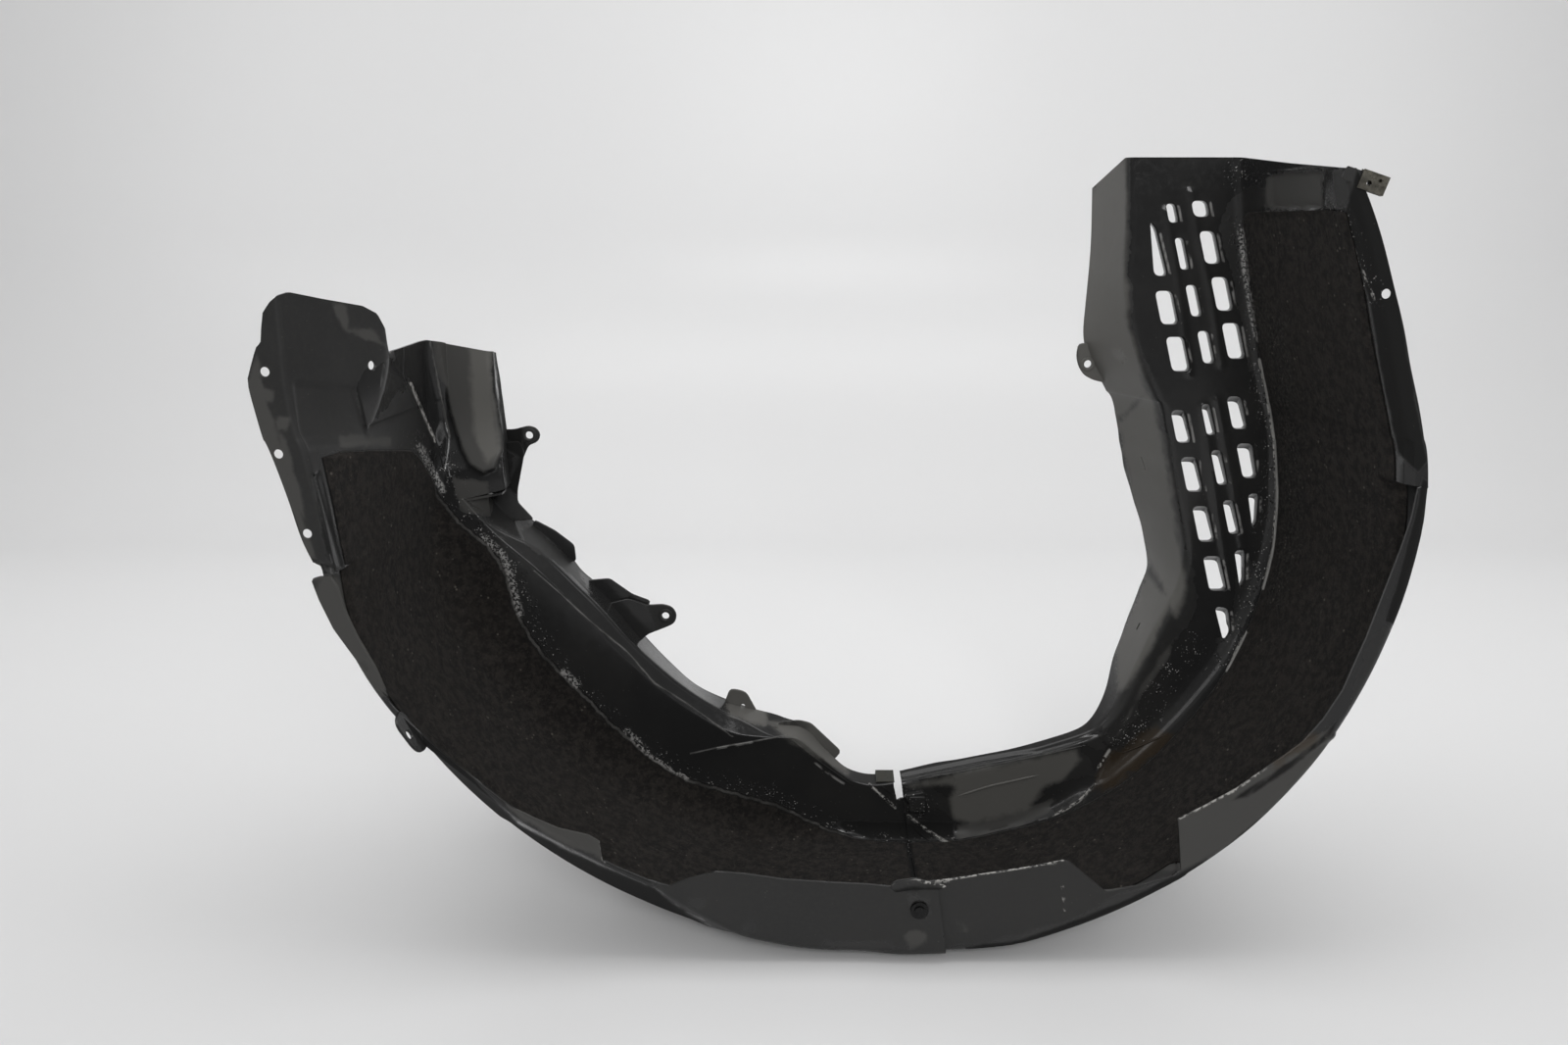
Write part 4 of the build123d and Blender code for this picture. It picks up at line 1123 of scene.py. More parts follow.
def flat_size(p):
    """Widest and longest run of a grid and its area, in metres."""
    w = np.linalg.norm(np.diff(p, axis=1), axis=2).sum(1).max()
    l = np.linalg.norm(np.diff(p, axis=0), axis=2).sum(0).max()
    a = np.linalg.norm(np.cross(p[1:, :-1] - p[:-1, :-1], p[:-1, 1:] - p[:-1, :-1]), axis=2).sum()
    return w / 1000, l / 1000, a / 1e6


# ================================================================ where the surface is dry, dusty, scratched or stained, and where shade and highlights are painted
DRY = [[(248, 388), (256, 352), (265, 340), (268, 315), (284, 294), (340, 298), (388, 310), (401, 345), (400, 364),
        (374, 380), (363, 392), (366, 425), (374, 441), (418, 388), (447, 456), (420, 461), (325, 463), (335, 500),
        (350, 560), (346, 592), (326, 574), (316, 568), (300, 528), (272, 465)],
       TONGUE, [(462, 487), (498, 491), (501, 524), (472, 524)],
       [(338, 588), (352, 580), (365, 600), (372, 625), (350, 615)], [(314, 588), (345, 588), (372, 628), (398, 712), (388, 712), (340, 648)],
       [(490, 793), (520, 818), (560, 838), (600, 851), (616, 856), (619, 881), (575, 861), (530, 837)],
       [(668, 903), (700, 893), (735, 888), (790, 891), (850, 898), (952, 903), (970, 990), (900, 985), (845, 978),
        (760, 962), (748, 957), (715, 936), (682, 917)],
       [(945, 901), (1050, 883), (1086, 876), (1128, 908), (1190, 880), (1203, 886), (1180, 899), (1140, 916),
        (1090, 937), (1040, 954), (1000, 962), (966, 968)],
       [(1201, 833), (1262, 803), (1290, 783), (1360, 742), (1352, 766), (1300, 822), (1265, 853), (1240, 870), (1203, 888)],
       [(1424, 650), (1398, 698), (1375, 730), (1382, 700), (1403, 650), (1412, 632)],
       [(524, 522), (545, 535), (592, 580), (602, 604), (572, 580), (535, 552)],
       [(1116, 185), (1152, 155), (1154, 322), (1172, 372), (1192, 447), (1207, 532), (1221, 600), (1213, 640),
        (1190, 663), (1183, 685), (1165, 705), (1163, 728), (1150, 745), (1135, 763), (1120, 752), (1141, 705),
        (1138, 660), (1174, 575), (1158, 520), (1141, 435), (1124, 395), (1098, 387), (1098, 340)],
       [(922, 795), (1000, 779), (1060, 769), (1120, 752), (1134, 764), (1118, 801), (1100, 821), (1075, 833),
        (1040, 843), (975, 861), (935, 866), (925, 842)],
       [(742, 696), (780, 698), (782, 740), (742, 732)], [(785, 738), (862, 736), (866, 792), (798, 749)],
       [(1362, 176), (1384, 172), (1388, 184), (1372, 214), (1363, 214)],
       [(1270, 190), (1252, 208), (1242, 235), (1256, 275), (1266, 330), (1276, 378), (1286, 370), (1272, 300),
        (1266, 240), (1290, 215), (1300, 190)],
       [(1290, 176), (1350, 174), (1350, 214), (1290, 215)],
       [(1262, 590), (1275, 570), (1285, 600), (1262, 650), (1248, 680), (1240, 660), (1255, 625)],
       [(522, 432), (556, 432), (556, 452), (522, 452)], [(660, 606), (696, 608), (696, 638), (662, 640)]]
WET = [[(918, 790), (970, 788), (978, 795), (975, 810), (965, 812), (945, 798)],
       [(925, 830), (955, 825), (978, 840), (990, 845), (985, 852), (970, 850)],
       [(1050, 825), (1070, 805), (1085, 798), (1120, 790), (1105, 770), (1100, 757), (1130, 765), (1120, 795), (1085, 825)],
       [(318, 480), (326, 478), (352, 578), (345, 588), (335, 570)],
       [(1136, 358), (1145, 358), (1146, 369), (1137, 369)],
       [(838, 957), (880, 960), (930, 958), (934, 970), (880, 972), (840, 966)],
       [(704, 918), (719, 918), (720, 926), (706, 926)], [(756, 943), (770, 942), (771, 951), (757, 951)],
       [(927, 916), (948, 916), (949, 938), (928, 938)], [(452, 345), (458, 380), (470, 430), (484, 465), (476, 470), (462, 430), (450, 385)]]
PALE = [[(1116, 185), (1148, 155), (1150, 322), (1164, 372), (1170, 400), (1140, 430), (1124, 395), (1098, 387), (1098, 340)],
        [(1170, 585), (1195, 612), (1180, 650), (1150, 700), (1141, 705), (1138, 660)],
        [(742, 696), (780, 698), (782, 740), (742, 732)], [(785, 738), (862, 736), (866, 792), (798, 749)],
        [(478, 340), (500, 340), (506, 440), (509, 462), (497, 476), (486, 450), (480, 400)],
        [(1141, 432), (1172, 400), (1188, 450), (1202, 540), (1212, 600), (1200, 630), (1174, 575), (1158, 520)],
        [(928, 802), (1000, 784), (1060, 774), (1098, 765), (1102, 775), (1085, 795), (1065, 805), (1048, 825), (990, 842),
         (975, 835), (968, 815), (978, 800)]]
DUST = [[(490, 793), (520, 818), (560, 838), (600, 851), (616, 856), (619, 881), (575, 861), (530, 837)],
        [(1201, 833), (1262, 803), (1290, 783), (1360, 742), (1352, 766), (1300, 822), (1265, 853), (1240, 870), (1203, 888)],
        [(1200, 650), (1186, 680), (1160, 715), (1140, 750), (1150, 735), (1165, 700)], TONGUE,
        [(252, 388), (262, 360), (275, 420), (300, 500), (322, 570), (316, 568), (300, 528), (272, 465)],
        [(317, 588), (345, 588), (372, 628), (398, 712), (388, 712), (340, 645)],
        [(340, 310), (352, 314), (356, 334), (378, 336), (397, 356), (384, 350), (352, 340)],
        [(264, 394), (281, 398), (279, 413), (267, 408)], [(284, 425), (294, 428), (292, 438), (284, 436)],
        [(284, 440), (292, 452), (300, 480), (312, 530), (304, 520), (292, 488)],
        [(346, 444), (400, 446), (400, 456), (347, 456)],
        [(462, 487), (498, 491), (501, 524), (472, 524)],
        [(1127, 900), (1150, 893), (1186, 874), (1198, 873), (1200, 885), (1165, 897), (1140, 909), (1128, 911)],
        [(922, 951), (940, 947), (950, 961), (930, 967)], [(974, 938), (988, 940), (986, 950), (974, 948)],
        [(1463, 503), (1460, 530), (1450, 560), (1452, 520)],
        [(975, 842), (1040, 826), (1075, 815), (1070, 830), (1035, 842), (980, 858)],
        [(1290, 178), (1350, 176), (1350, 212), (1290, 213)]]
# painted highlights: light lines along edges, ribs and creases
EDGE_HIGHLIGHT = [[(1083, 897), (1085, 912), (1087, 930)], [(613, 858), (616, 880)],
         [(912, 903), (935, 898), (967, 905)],
         [(955, 899), (1010, 890), (1050, 884), (1085, 877)], [(1203, 835), (1225, 824), (1262, 805), (1292, 783)],
         [(1073, 832), (1088, 825), (1102, 816), (1117, 800)], [(1121, 783), (1127, 773), (1132, 765)],
         [(1285, 367), (1292, 400), (1300, 450), (1303, 505), (1299, 560), (1289, 600)], [(1271, 645), (1252, 684)],
         [(419, 391), (431, 420), (444, 450)], [(1366, 216), (1380, 250), (1402, 305)],
         [(887, 800), (900, 812), (914, 824)], [(927, 832), (945, 846), (970, 862)]]
# painted highlights: thin light lines along the rear crease, the gusset and the tower's crease
CREASE_GLINT = [[(545, 582), (572, 606), (600, 632), (640, 665), (668, 697), (700, 717), (725, 735), (748, 752)],
        [(704, 769), (735, 762), (765, 757), (802, 750)], [(439, 349), (444, 375), (450, 405), (459, 446)]]
GLINT = [[(728, 764), (768, 757)], [(832, 778), (848, 791), (862, 800)]]
for quad in VENTS:
    (x1, z1), (x2, z2) = quad[1], quad[2]
    GLINT.append([tuple(seen(np.array([x1 + (x2 - x1) * t + 2.2, 210.0, z1 + (z2 - z1) * t]))) for t in (0.1, 0.5, 0.95)])
STAIN = [[(1112, 806), (1130, 770), (1180, 742), (1198, 748), (1172, 776), (1140, 800)],
         [(1290, 756), (1345, 748), (1340, 760), (1300, 784)]]
# painted shade: near-black, rough areas where the lip bands, creases, slots and flange edge lie in shadow
SHADE_MATTE = [[(430, 748), (452, 764), (490, 801), (530, 842), (575, 866), (619, 886), (668, 907), (690, 925), (748, 960), (700, 970),
          (640, 945), (560, 910), (500, 865), (440, 800)],
         [(503, 340), (520, 340), (533, 430), (537, 505), (517, 505), (513, 440)],
         [(909, 908), (930, 904), (947, 903), (962, 906), (961, 910), (944, 908), (925, 912), (911, 913)],
         [(1467, 500), (1460, 560), (1448, 600), (1430, 640), (1412, 634), (1424, 600), (1436, 560), (1445, 520), (1452, 488)],
         [(845, 836), (900, 838), (975, 838), (972, 855), (930, 857), (890, 856), (862, 847)],
         [(1255, 816), (1300, 788), (1345, 756), (1364, 736), (1358, 750), (1310, 789), (1272, 813)],
         [(985, 966), (1040, 959), (1100, 938), (1150, 917), (1203, 892), (1245, 870), (1290, 832), (1330, 792), (1358, 760),
          (1372, 770), (1340, 815), (1290, 860), (1230, 900), (1160, 930), (1090, 960), (1030, 985), (990, 990)],
         [(1386, 172), (1402, 205), (1425, 285), (1445, 415), (1457, 470), (1447, 482), (1427, 462), (1413, 400), (1396, 300), (1372, 216)]]
SPARK = [[(455, 470), (465, 515), (493, 548), (515, 570), (525, 600), (540, 640), (575, 690), (620, 735), (660, 768),
          (710, 800), (780, 812), (830, 838), (885, 864), (970, 863)],
         [(420, 478), (440, 480), (450, 500)], [(425, 452), (455, 500)], [(1170, 728), (1190, 690), (1218, 660)],
         [(1160, 738), (1145, 752)],
         [(1268, 235), (1280, 300), (1290, 370), (1300, 450), (1302, 510), (1296, 560), (1280, 615), (1250, 683)],
         [(925, 815), (942, 822)], [(1268, 170), (1276, 182)], [(1367, 218), (1400, 300)]]
CRUST = [[(493, 547), (513, 565), (521, 586), (527, 613), (531, 626)], [(575, 685), (590, 699)], [(640, 746), (662, 768), (700, 792)],
         [(428, 455), (440, 478), (452, 500)], [(1266, 236), (1270, 270), (1276, 310), (1283, 345)]]
LINT = [[(1300, 330), (1312, 420), (1320, 500), (1316, 560), (1302, 610)], [(1268, 240), (1284, 330)]]


def painted(ob, fleece_side=False):
    """Stores, at each point, how far it lies inside the dry, wet, dusty, marked and stained areas and the areas of
    painted shade, and how near it lies to the painted highlight lines.
    """
    me = ob.data
    v = np.empty(len(me.vertices) * 3)
    me.vertices.foreach_get("co", v)
    p = v.reshape(-1, 3) * 1000 - MOVE
    q = seen(p)
    nv = np.empty(len(me.vertices) * 3, np.float32)
    me.vertex_normals.foreach_get("vector", nv)
    to_cam = CAM - p
    to_cam /= np.linalg.norm(to_cam, axis=1, keepdims=True)
    shown = np.ones(len(p), bool) if fleece_side else (nv.reshape(-1, 3) * to_cam).sum(1) > -0.4

    def store(name, val, plain):
        a = me.attributes.new(name, "FLOAT", "POINT")
        a.data.foreach_set("value", np.where(shown, val, plain).astype(np.float32))

    def area(polys):
        best = np.full(len(q), -60.0)
        for poly in polys:
            poly = np.asarray(poly, float)
            lo, hi = poly.min(0) - 60, poly.max(0) + 60
            m = np.all((q > lo) & (q < hi), axis=1)
            if m.any():
                best[m] = np.maximum(best[m], signed(q[m], poly))
        return best

    def near(lines):
        best = np.full(len(q), 60.0)
        for line in lines:
            line = np.asarray(line, float)
            lo, hi = line.min(0) - 60, line.max(0) + 60
            m = np.all((q > lo) & (q < hi), axis=1)
            if m.any():
                best[m] = np.minimum(best[m], line_dist(q[m], line))
        return best

    store("edge_highlight", near(EDGE_HIGHLIGHT), 60.0)
    store("crust", near(CRUST), 60.0)
    if fleece_side:
        store("lint", near(LINT), 60.0)
        return
    store("dry", np.minimum(area(DRY), -area(WET)), 60.0)
    store("dusty", area(DUST), -60.0)
    store("pale", area(PALE), -60.0)
    store("glint", near(GLINT), 60.0)
    store("line", near(CREASE_GLINT), 60.0)
    store("stain", area(STAIN), -60.0)
    store("shade_matte", area(SHADE_MATTE), -60.0)
    store("spark", near(SPARK), 60.0)


rear_ob = rear.object("rear_liner")
front_ob = front.object("front_liner")
painted(rear_ob)
painted(front_ob)
felt_r_ob = felt_r.object("rear_fleece", {"edge": np.concatenate([edge_r.ravel(), edge_r.ravel()]),
                                          "far": np.concatenate([far_r.ravel(), far_r.ravel()])}, 60.0)
felt_f_ob = felt_f.object("front_fleece", {"edge": np.concatenate([edge_f.ravel(), edge_f.ravel()]),
                                           "far": np.concatenate([far_f.ravel(), far_f.ravel()])}, 60.0)
painted(felt_r_ob, True)
painted(felt_f_ob, True)


# ================================================================ materials
class Look:
    """Small helper for node materials in object space."""

    def __init__(self, name):
        self.mat = bpy.data.materials.new(name)
        self.mat.use_nodes = True
        self.t = self.mat.node_tree
        self.bsdf = self.t.nodes["Principled BSDF"]
        self.obj = self.t.nodes.new("ShaderNodeTexCoord").outputs["Object"]

    def set(self, sock, v):
        if hasattr(v, "is_linked"):
            self.t.links.new(v, sock)
        else:
            sock.default_value = v

    def noise(self, scale, detail=4.0, rough=0.55, vec=None, dist=0.0):
        n = self.t.nodes.new("ShaderNodeTexNoise")
        n.inputs["Scale"].default_value = scale
        n.inputs["Detail"].default_value = detail
        n.inputs["Roughness"].default_value = rough
        n.inputs["Distortion"].default_value = dist
        self.t.links.new(vec or self.obj, n.inputs["Vector"])
        return n.outputs["Fac"]

    def cells(self, scale, feature="F1", vec=None):
        n = self.t.nodes.new("ShaderNodeTexVoronoi")
        n.feature = feature
        n.inputs["Scale"].default_value = scale
        self.t.links.new(vec or self.obj, n.inputs["Vector"])
        return n.outputs["Distance"]

    def stretch(self, sx, sy, sz):
        n = self.t.nodes.new("ShaderNodeMapping")
        n.inputs["Scale"].default_value = (sx, sy, sz)
        self.t.links.new(self.obj, n.inputs["Vector"])
        return n.outputs["Vector"]

    def attr(self, name):
        n = self.t.nodes.new("ShaderNodeAttribute")
        n.attribute_name = name
        return n.outputs["Fac"]

    def math(self, op, a, b=0.0, c=None, clamp=False):
        n = self.t.nodes.new("ShaderNodeMath")
        n.operation = op
        n.use_clamp = clamp
        self.set(n.inputs[0], a)
        self.set(n.inputs[1], b)
        if c is not None:
            self.set(n.inputs[2], c)
        return n.outputs[0]

    def ramp(self, v, lo, hi, a=0.0, b=1.0):
        n = self.t.nodes.new("ShaderNodeMapRange")
        n.interpolation_type = "SMOOTHSTEP"
        self.set(n.inputs["Value"], v)
        n.inputs["From Min"].default_value = lo
        n.inputs["From Max"].default_value = hi
        n.inputs["To Min"].default_value = a
        n.inputs["To Max"].default_value = b
        return n.outputs["Result"]

    def mix(self, f, a, b):
        n = self.t.nodes.new("ShaderNodeMix")
        n.data_type = "RGBA"
        self.set(n.inputs["Factor"], f)
        self.set(n.inputs[6], a)
        self.set(n.inputs[7], b)
        return n.outputs[2]

    def lerp(self, f, a, b):
        n = self.t.nodes.new("ShaderNodeMix")
        n.data_type = "FLOAT"
        self.set(n.inputs["Factor"], f)
        self.set(n.inputs[2], a)
        self.set(n.inputs[3], b)
        return n.outputs[0]

    def bump(self, h, strength, dist, under=None):
        n = self.t.nodes.new("ShaderNodeBump")
        n.inputs["Strength"].default_value = strength
        n.inputs["Distance"].default_value = dist
        self.t.links.new(h, n.inputs["Height"])
        if under is not None:
            self.t.links.new(under, n.inputs["Normal"])
        return n.outputs["Normal"]

    def done(self, color, rough, normal=None, **fixed):
        self.set(self.bsdf.inputs["Base Color"], color)
        self.set(self.bsdf.inputs["Roughness"], rough)
        if normal is not None:
            self.t.links.new(normal, self.bsdf.inputs["Normal"])
        for k, v in fixed.items():
            self.bsdf.inputs[k.replace("_", " ")].default_value = v
        return self.mat


def rgb(r, g, b):
    return (r, g, b, 1.0)


def liner_look():
    L = Look("liner_plastic")
    blot = L.noise(38, 5, 0.6, dist=0.4)
    fine = L.noise(240, 4, 0.6)
    grain = L.noise(1500, 2, 0.5)
    broad = L.noise(7, 4, 0.55)
    wob = L.math("MULTIPLY_ADD", blot, 22.0, -11.0)
    dry = L.ramp(L.math("ADD", L.attr("dry"), wob), -1.6, 1.6)
    dusty = L.ramp(L.math("ADD", L.attr("dusty"), L.math("MULTIPLY_ADD", blot, 16.0, -8.0)), -2.5, 2.5)
    stain = L.ramp(L.math("ADD", L.attr("stain"), L.math("MULTIPLY_ADD", blot, 30.0, -15.0)), -4.0, 5.0)
    shade_matte = L.ramp(L.math("ADD", L.attr("shade_matte"), L.math("MULTIPLY_ADD", blot, 6.0, -3.0)), -2.0, 2.0)
    edge_highlight = L.math("MULTIPLY", L.ramp(L.attr("edge_highlight"), 2.2, 0.6), L.ramp(fine, 0.44, 0.54))
    spark = L.ramp(L.attr("spark"), 26.0, 2.0)
    # colour
    gray = L.mix(L.ramp(broad, 0.35, 0.7), rgb(0.0155, 0.0155, 0.0154), rgb(0.0212, 0.0207, 0.0201))
    gray = L.mix(L.ramp(fine, 0.4, 0.75, 0.0, 0.5), gray, rgb(0.024, 0.0235, 0.022))
    film = L.mix(L.ramp(broad, 0.4, 0.65), rgb(0.0165, 0.0165, 0.0166), rgb(0.0222, 0.0218, 0.0213))
    col = L.mix(dry, film, gray)
    col = L.mix(L.math("MULTIPLY", dusty, 0.8), col, rgb(0.055, 0.0537, 0.0505))
    pale = L.ramp(L.math("ADD", L.attr("pale"), L.math("MULTIPLY_ADD", blot, 14.0, -7.0)), -4.0, 4.0)
    col = L.mix(L.math("MULTIPLY", pale, 0.8), col, rgb(0.112, 0.109, 0.101))
    col = L.mix(L.math("MULTIPLY", stain, 0.6), col, rgb(0.034, 0.0225, 0.0115))
    # painted shade: near-black colour in the shadowed bands, creases and slots
    col = L.mix(L.math("MULTIPLY", shade_matte, 0.9), col, rgb(0.0055, 0.0055, 0.0053))
    streak = L.ramp(L.noise(1.0, 3, 0.6, L.stretch(26, 90, 620)), 0.66, 0.74, 0.0, 0.35)
    col = L.mix(L.math("MULTIPLY", streak, dry), col, rgb(0.04, 0.039, 0.037))
    speck = L.ramp(L.cells(210), 0.13, 0.06)
    speck = L.math("MULTIPLY", speck, L.ramp(L.noise(60, 2), 0.56, 0.64))
    col = L.mix(L.math("MULTIPLY", speck, 0.5), col, rgb(0.09, 0.085, 0.075))
    # white specks near the fleece edge
    white_specks = L.math("MULTIPLY", L.ramp(L.cells(420), 0.30, 0.16), L.ramp(L.noise(150, 3, 0.6), 0.50, 0.60))
    white_specks = L.math("MULTIPLY", white_specks, L.ramp(L.attr("spark"), 17.0, 3.0))
    col = L.mix(white_specks, col, rgb(0.42, 0.41, 0.40))
    # painted highlight lines along edges, ribs and creases
    col = L.mix(L.math("MULTIPLY", edge_highlight, 0.75), col, rgb(0.42, 0.41, 0.39))
    crust = L.math("MULTIPLY", L.ramp(L.attr("crust"), 5.0, 1.5), L.ramp(L.noise(420, 4, 0.65), 0.47, 0.56))
    col = L.mix(L.math("MULTIPLY", crust, 0.7), col, rgb(0.36, 0.355, 0.345))
    glint = L.math("MULTIPLY", L.ramp(L.attr("glint"), 1.9, 0.5), L.ramp(L.noise(70, 2), 0.40, 0.52))
    col = L.mix(L.math("MULTIPLY", glint, 0.55), col, rgb(0.34, 0.335, 0.325))
    # painted highlight: thin, broken light line along the creases
    line = L.math("MULTIPLY", L.ramp(L.attr("line"), 1.6, 0.4), L.ramp(L.noise(45, 3), 0.3, 0.7, 0.10, 0.42))
    col = L.mix(line, col, rgb(0.30, 0.295, 0.285))
    # finish
    wet_r = L.ramp(fine, 0.35, 0.7, 0.10, 0.24)
    dry_r = L.ramp(broad, 0.3, 0.7, 0.40, 0.52)
    rough = L.lerp(dry, wet_r, dry_r)
    rough = L.lerp(L.math("MULTIPLY", dusty, 0.7), rough, 0.62)
    rough = L.lerp(shade_matte, rough, 0.98)
    rough = L.lerp(L.math("MULTIPLY", edge_highlight, 0.8), rough, 0.8)
    # moulded grain, ripples of the wet film, droplets beside the fleece
    n1 = L.bump(grain, 0.10, 0.0003)
    n2 = L.bump(L.noise(26, 3, 0.5), 0.10, 0.004, n1)
    drops = L.math("MULTIPLY", L.ramp(L.cells(330), 0.42, 0.05), L.ramp(L.noise(110, 3, 0.6), 0.5, 0.62))
    drops = L.math("MULTIPLY", drops, spark)
    n3 = L.bump(drops, 0.9, 0.0012, n2)
    rough = L.lerp(L.math("MULTIPLY", drops, 0.8), rough, 0.12)
    return L.done(col, rough, n3, Specular_IOR_Level=0.30)


def fleece_look():
    L = Look("liner_fleece")
    fib = L.noise(1.0, 3, 0.65, L.stretch(900, 900, 900))
    fib2 = L.noise(520, 4, 0.7, dist=1.5)
    tuft = L.noise(130, 5, 0.72)
    hair = L.noise(330, 3, 0.6)
    broad = L.noise(11, 4, 0.6)
    col = L.mix(L.ramp(tuft, 0.42, 0.60), rgb(0.0128, 0.0117, 0.0112), rgb(0.0272, 0.0242, 0.0218))
    col = L.mix(L.ramp(broad, 0.42, 0.72, 0.0, 0.35), col, rgb(0.0175, 0.0150, 0.0130))
    col = L.mix(L.ramp(hair, 0.54, 0.68, 0.0, 0.55), col, rgb(0.0430, 0.0375, 0.0325))
    col = L.mix(L.ramp(L.attr("lint"), 18.0, 6.0, 0.0, 0.45), col, L.mix(L.ramp(hair, 0.4, 0.62), rgb(0.006, 0.006, 0.006), rgb(0.036, 0.0345, 0.032)))
    lint = L.math("MULTIPLY", L.ramp(L.cells(120), 0.17, 0.09), L.ramp(L.noise(38, 2), 0.52, 0.60))
    more = L.math("MULTIPLY", L.ramp(L.cells(330), 0.30, 0.16), L.ramp(L.noise(150, 3, 0.6), 0.50, 0.58))
    lint = L.math("MAXIMUM", lint, L.math("MULTIPLY", more, L.ramp(L.attr("lint"), 16.0, 2.0)))
    col = L.mix(L.math("MULTIPLY", lint, 0.7), col, rgb(0.12, 0.108, 0.094))
    far = L.attr("far")
    fused = L.ramp(far, 7.5, 3.5)
    col = L.mix(L.math("MULTIPLY", fused, 0.8), col, rgb(0.006, 0.006, 0.006))
    # painted highlight: lighter, broken band for the glints on the raised bead
    bead = L.ramp(L.math("ABSOLUTE", L.math("SUBTRACT", far, 3.0)), 1.9, 0.6)
    col = L.mix(L.math("MULTIPLY", bead, L.ramp(L.noise(60, 3), 0.35, 0.6, 0.35, 0.8)), col, rgb(0.085, 0.083, 0.079))
    crust = L.math("MULTIPLY", L.ramp(L.attr("crust"), 5.5, 2.0), L.ramp(L.noise(330, 4, 0.65), 0.46, 0.55))
    crust = L.math("MULTIPLY", crust, L.ramp(far, 9.0, 5.0))
    col = L.mix(L.math("MULTIPLY", crust, 0.75), col, rgb(0.34, 0.33, 0.32))
    # painted highlight where the highlight lines reach the fleece's far edge
    edge_highlight = L.math("MULTIPLY", L.ramp(L.attr("edge_highlight"), 2.6, 0.8), L.ramp(far, 8.0, 5.0))
    col = L.mix(L.math("MULTIPLY", edge_highlight, 0.85), col, rgb(0.5, 0.49, 0.47))
    rough = L.lerp(fused, 0.95, L.ramp(fib2, 0.35, 0.65, 0.16, 0.5))
    n1 = L.bump(fib, 0.7, 0.0012)
    n2 = L.bump(fib2, 0.9, 0.0016, n1)
    n3 = L.bump(tuft, 0.8, 0.0025, n2)
    return L.done(col, rough, n3, Specular_IOR_Level=0.09, Sheen_Weight=0.03, Sheen_Roughness=0.5)


def small_look(name, a, b, r0, r1, metal=0.0, scale=160.0, spec=0.5):
    L = Look(name)
    n = L.noise(scale, 5, 0.65)
    col = L.mix(L.ramp(n, 0.35, 0.7), rgb(*a), rgb(*b))
    dirt = L.ramp(L.noise(scale * 3.2, 4, 0.7), 0.52, 0.62, 0.0, 0.6)
    col = L.mix(dirt, col, rgb(a[0] * 0.45, a[1] * 0.42, a[2] * 0.36))
    return L.done(col, L.ramp(n, 0.3, 0.7, r0, r1), L.bump(L.noise(scale * 6, 3), 0.25, 0.0005), Metallic=metal,
                  Specular_IOR_Level=spec)


plastic, fleece_mat = liner_look(), fleece_look()
rivet_mat = small_look("rivet_plastic", (0.002, 0.002, 0.002), (0.004, 0.004, 0.004), 0.16, 0.5, spec=0.22)
clip_mat = small_look("clip_plastic", (0.011, 0.011, 0.007), (0.028, 0.027, 0.018), 0.45, 0.7)
nut_mat = small_look("nut_metal", (0.045, 0.042, 0.033), (0.105, 0.098, 0.08), 0.42, 0.65, 0.5)

for ob in (rear_ob, front_ob):
    ob.data.materials.append(plastic)
for ob in (felt_r_ob, felt_f_ob):
    ob.data.materials.append(fleece_mat)
for n, m in (("rivet_body", rivet_mat), ("rivet_pin", rivet_mat), ("rim_clip", clip_mat), ("spring_nut", nut_mat)):
    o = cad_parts[n]
    o.data.materials.clear()
    o.data.materials.append(m)

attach(rear_ob, "root")
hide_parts("rear_shell")
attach(front_ob, "root")
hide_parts("front_shell")
for ob, node, on, p in ((felt_r_ob, "rear_felt", rear_ob, flat_r), (felt_f_ob, "front_felt", front_ob, flat_f)):
    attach(ob, "root")
    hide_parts(node)
    w, l, a = flat_size(p)

# ================================================================ stage
sc = bpy.context.scene
sc.view_settings.view_transform = "Standard"


def stage_sheet(name, prof, x0, x1, mat):
    n = len(prof)
    v = [(x, y, z) for x in (x0, x1) for y, z in prof]
    me = bpy.data.meshes.new(name)
    me.from_pydata(v, [], [(i, i + n, i + n + 1, i + 1) for i in range(n - 1)])
    me.polygons.foreach_set("use_smooth", np.ones(len(me.polygons), bool))
    ob = bpy.data.objects.new(name, me)
    sc.collection.objects.link(ob)
    me.materials.append(mat)
    ob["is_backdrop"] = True
    return ob


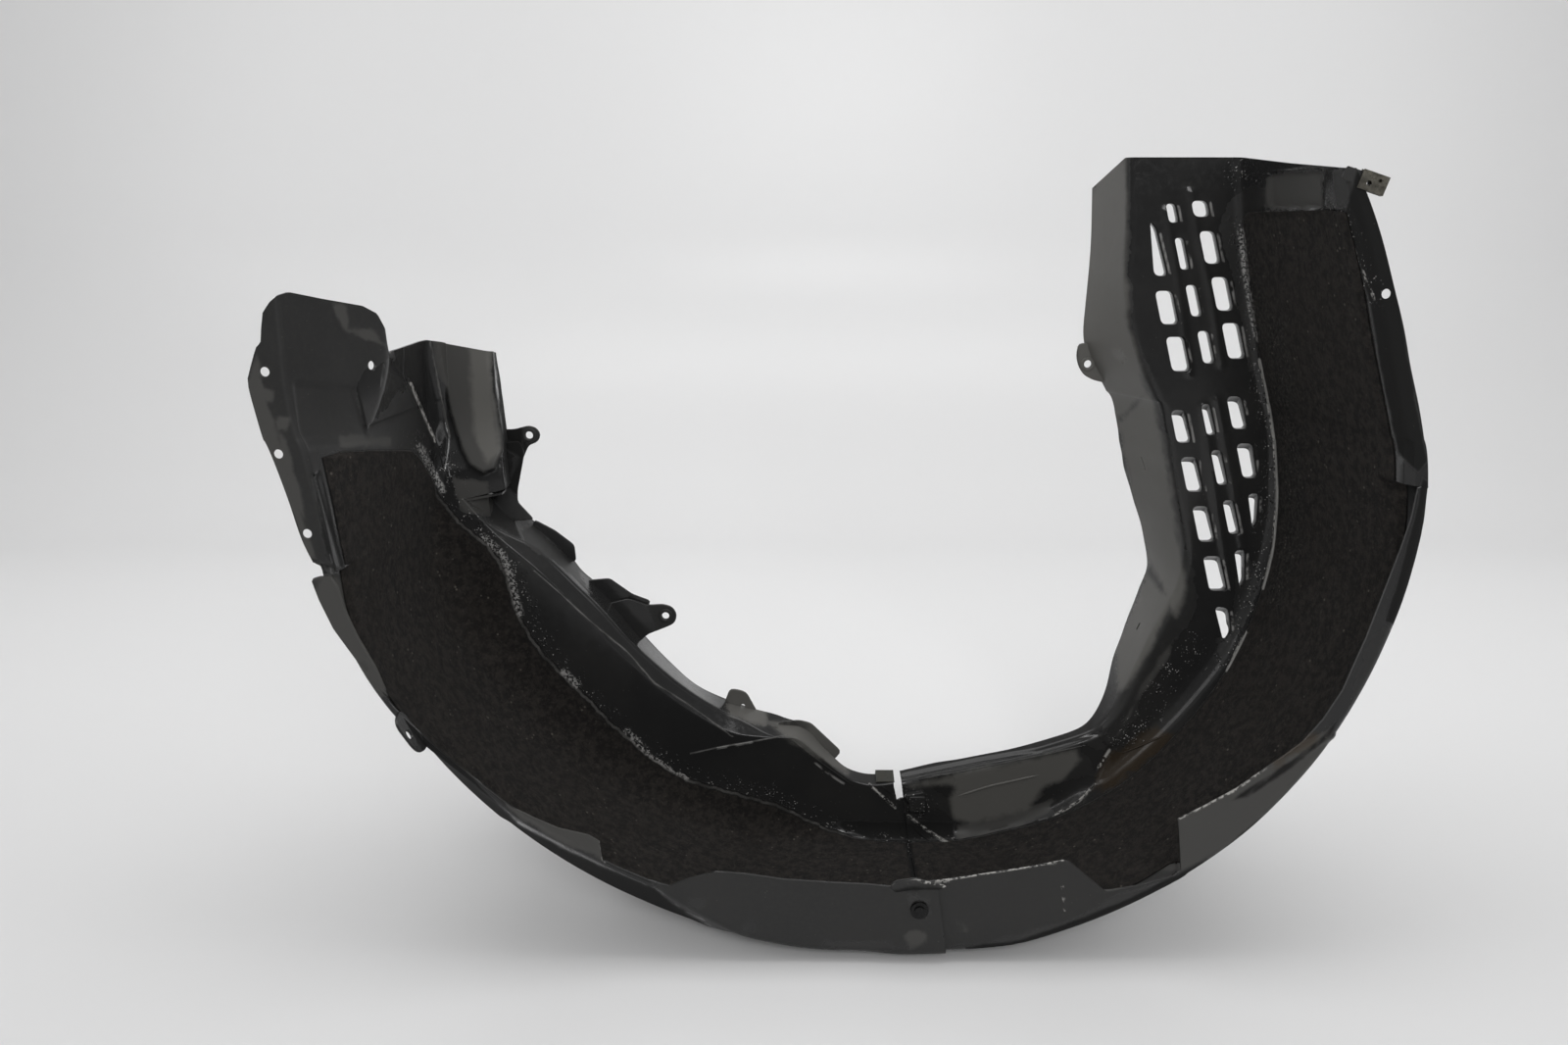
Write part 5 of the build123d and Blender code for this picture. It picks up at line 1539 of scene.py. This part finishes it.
S = Look("studio_sheet")
place = S.t.nodes.new("ShaderNodeSeparateXYZ")
S.t.links.new(S.obj, place.inputs[0])
# painted shade: the sheet darkens towards the front and pales towards the back
painted_falloff = S.mix(S.ramp(place.outputs["Y"], -0.7, 1.2), rgb(0.63, 0.63, 0.632), rgb(0.84, 0.84, 0.842))
sheet_mat = S.done(painted_falloff, 0.32, None, Specular_IOR_Level=0.35)
curve = [(-9.0, 0.0), (1.25, 0.0)]
curve += [(1.25 + 0.6 * math.sin(t), 0.6 - 0.6 * math.cos(t)) for t in np.linspace(0.06, math.pi / 2, 18)]
curve += [(1.85, 3.2)]
stage_sheet("sweep", curve, -8.0, 8.0, sheet_mat)

world = bpy.data.worlds.new("studio")
sc.world = world
world.use_nodes = True
wt = world.node_tree
bg = wt.nodes["Background"]
co = wt.nodes.new("ShaderNodeTexCoord")
sep = wt.nodes.new("ShaderNodeSeparateXYZ")
wt.links.new(co.outputs["Generated"], sep.inputs[0])
mp = wt.nodes.new("ShaderNodeMapRange")
mp.inputs["From Min"].default_value = -0.35
mp.inputs["From Max"].default_value = 0.75
mp.inputs["To Min"].default_value = 0.10
mp.inputs["To Max"].default_value = 0.85
wt.links.new(sep.outputs["Z"], mp.inputs["Value"])
cmb = wt.nodes.new("ShaderNodeCombineColor")
for k in range(3):
    wt.links.new(mp.outputs["Result"], cmb.inputs[k])
wt.links.new(cmb.outputs[0], bg.inputs["Color"])
bg.inputs["Strength"].default_value = 0.49


def softbox(name, loc, aim, size, power):
    lt = bpy.data.lights.new(name, "AREA")
    lt.shape = "RECTANGLE"
    lt.size, lt.size_y = size
    lt.energy = power
    ob = bpy.data.objects.new(name, lt)
    sc.collection.objects.link(ob)
    ob.location = loc
    ob.rotation_euler = (Vector(aim) - Vector(loc)).to_track_quat("-Z", "Y").to_euler()
    return ob


softbox("top", (0.0, 0.1, 2.3), (0, 0.1, 0), (2.6, 1.2), 24)
softbox("left", (-2.1, -0.5, 1.3), (0, 0.1, 0.35), (1.2, 1.6), 11)
softbox("right", (2.1, -0.4, 1.3), (0, 0.1, 0.35), (1.2, 1.6), 11)

softbox("front", (0.25, -2.5, 1.6), (0, 0.1, 0.25), (1.6, 0.9), 32)

cam = bpy.data.cameras.new("camera")
cam.sensor_width = 36.0
cam.lens = FOCAL * 36.0 / 1600
cam_ob = bpy.data.objects.new("camera", cam)
sc.collection.objects.link(cam_ob)
cam_ob.location = (CAM + MOVE) * 0.001
cam_ob.rotation_euler = (math.radians(90) - PITCH, 0, 0)
sc.camera = cam_ob

low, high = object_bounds()
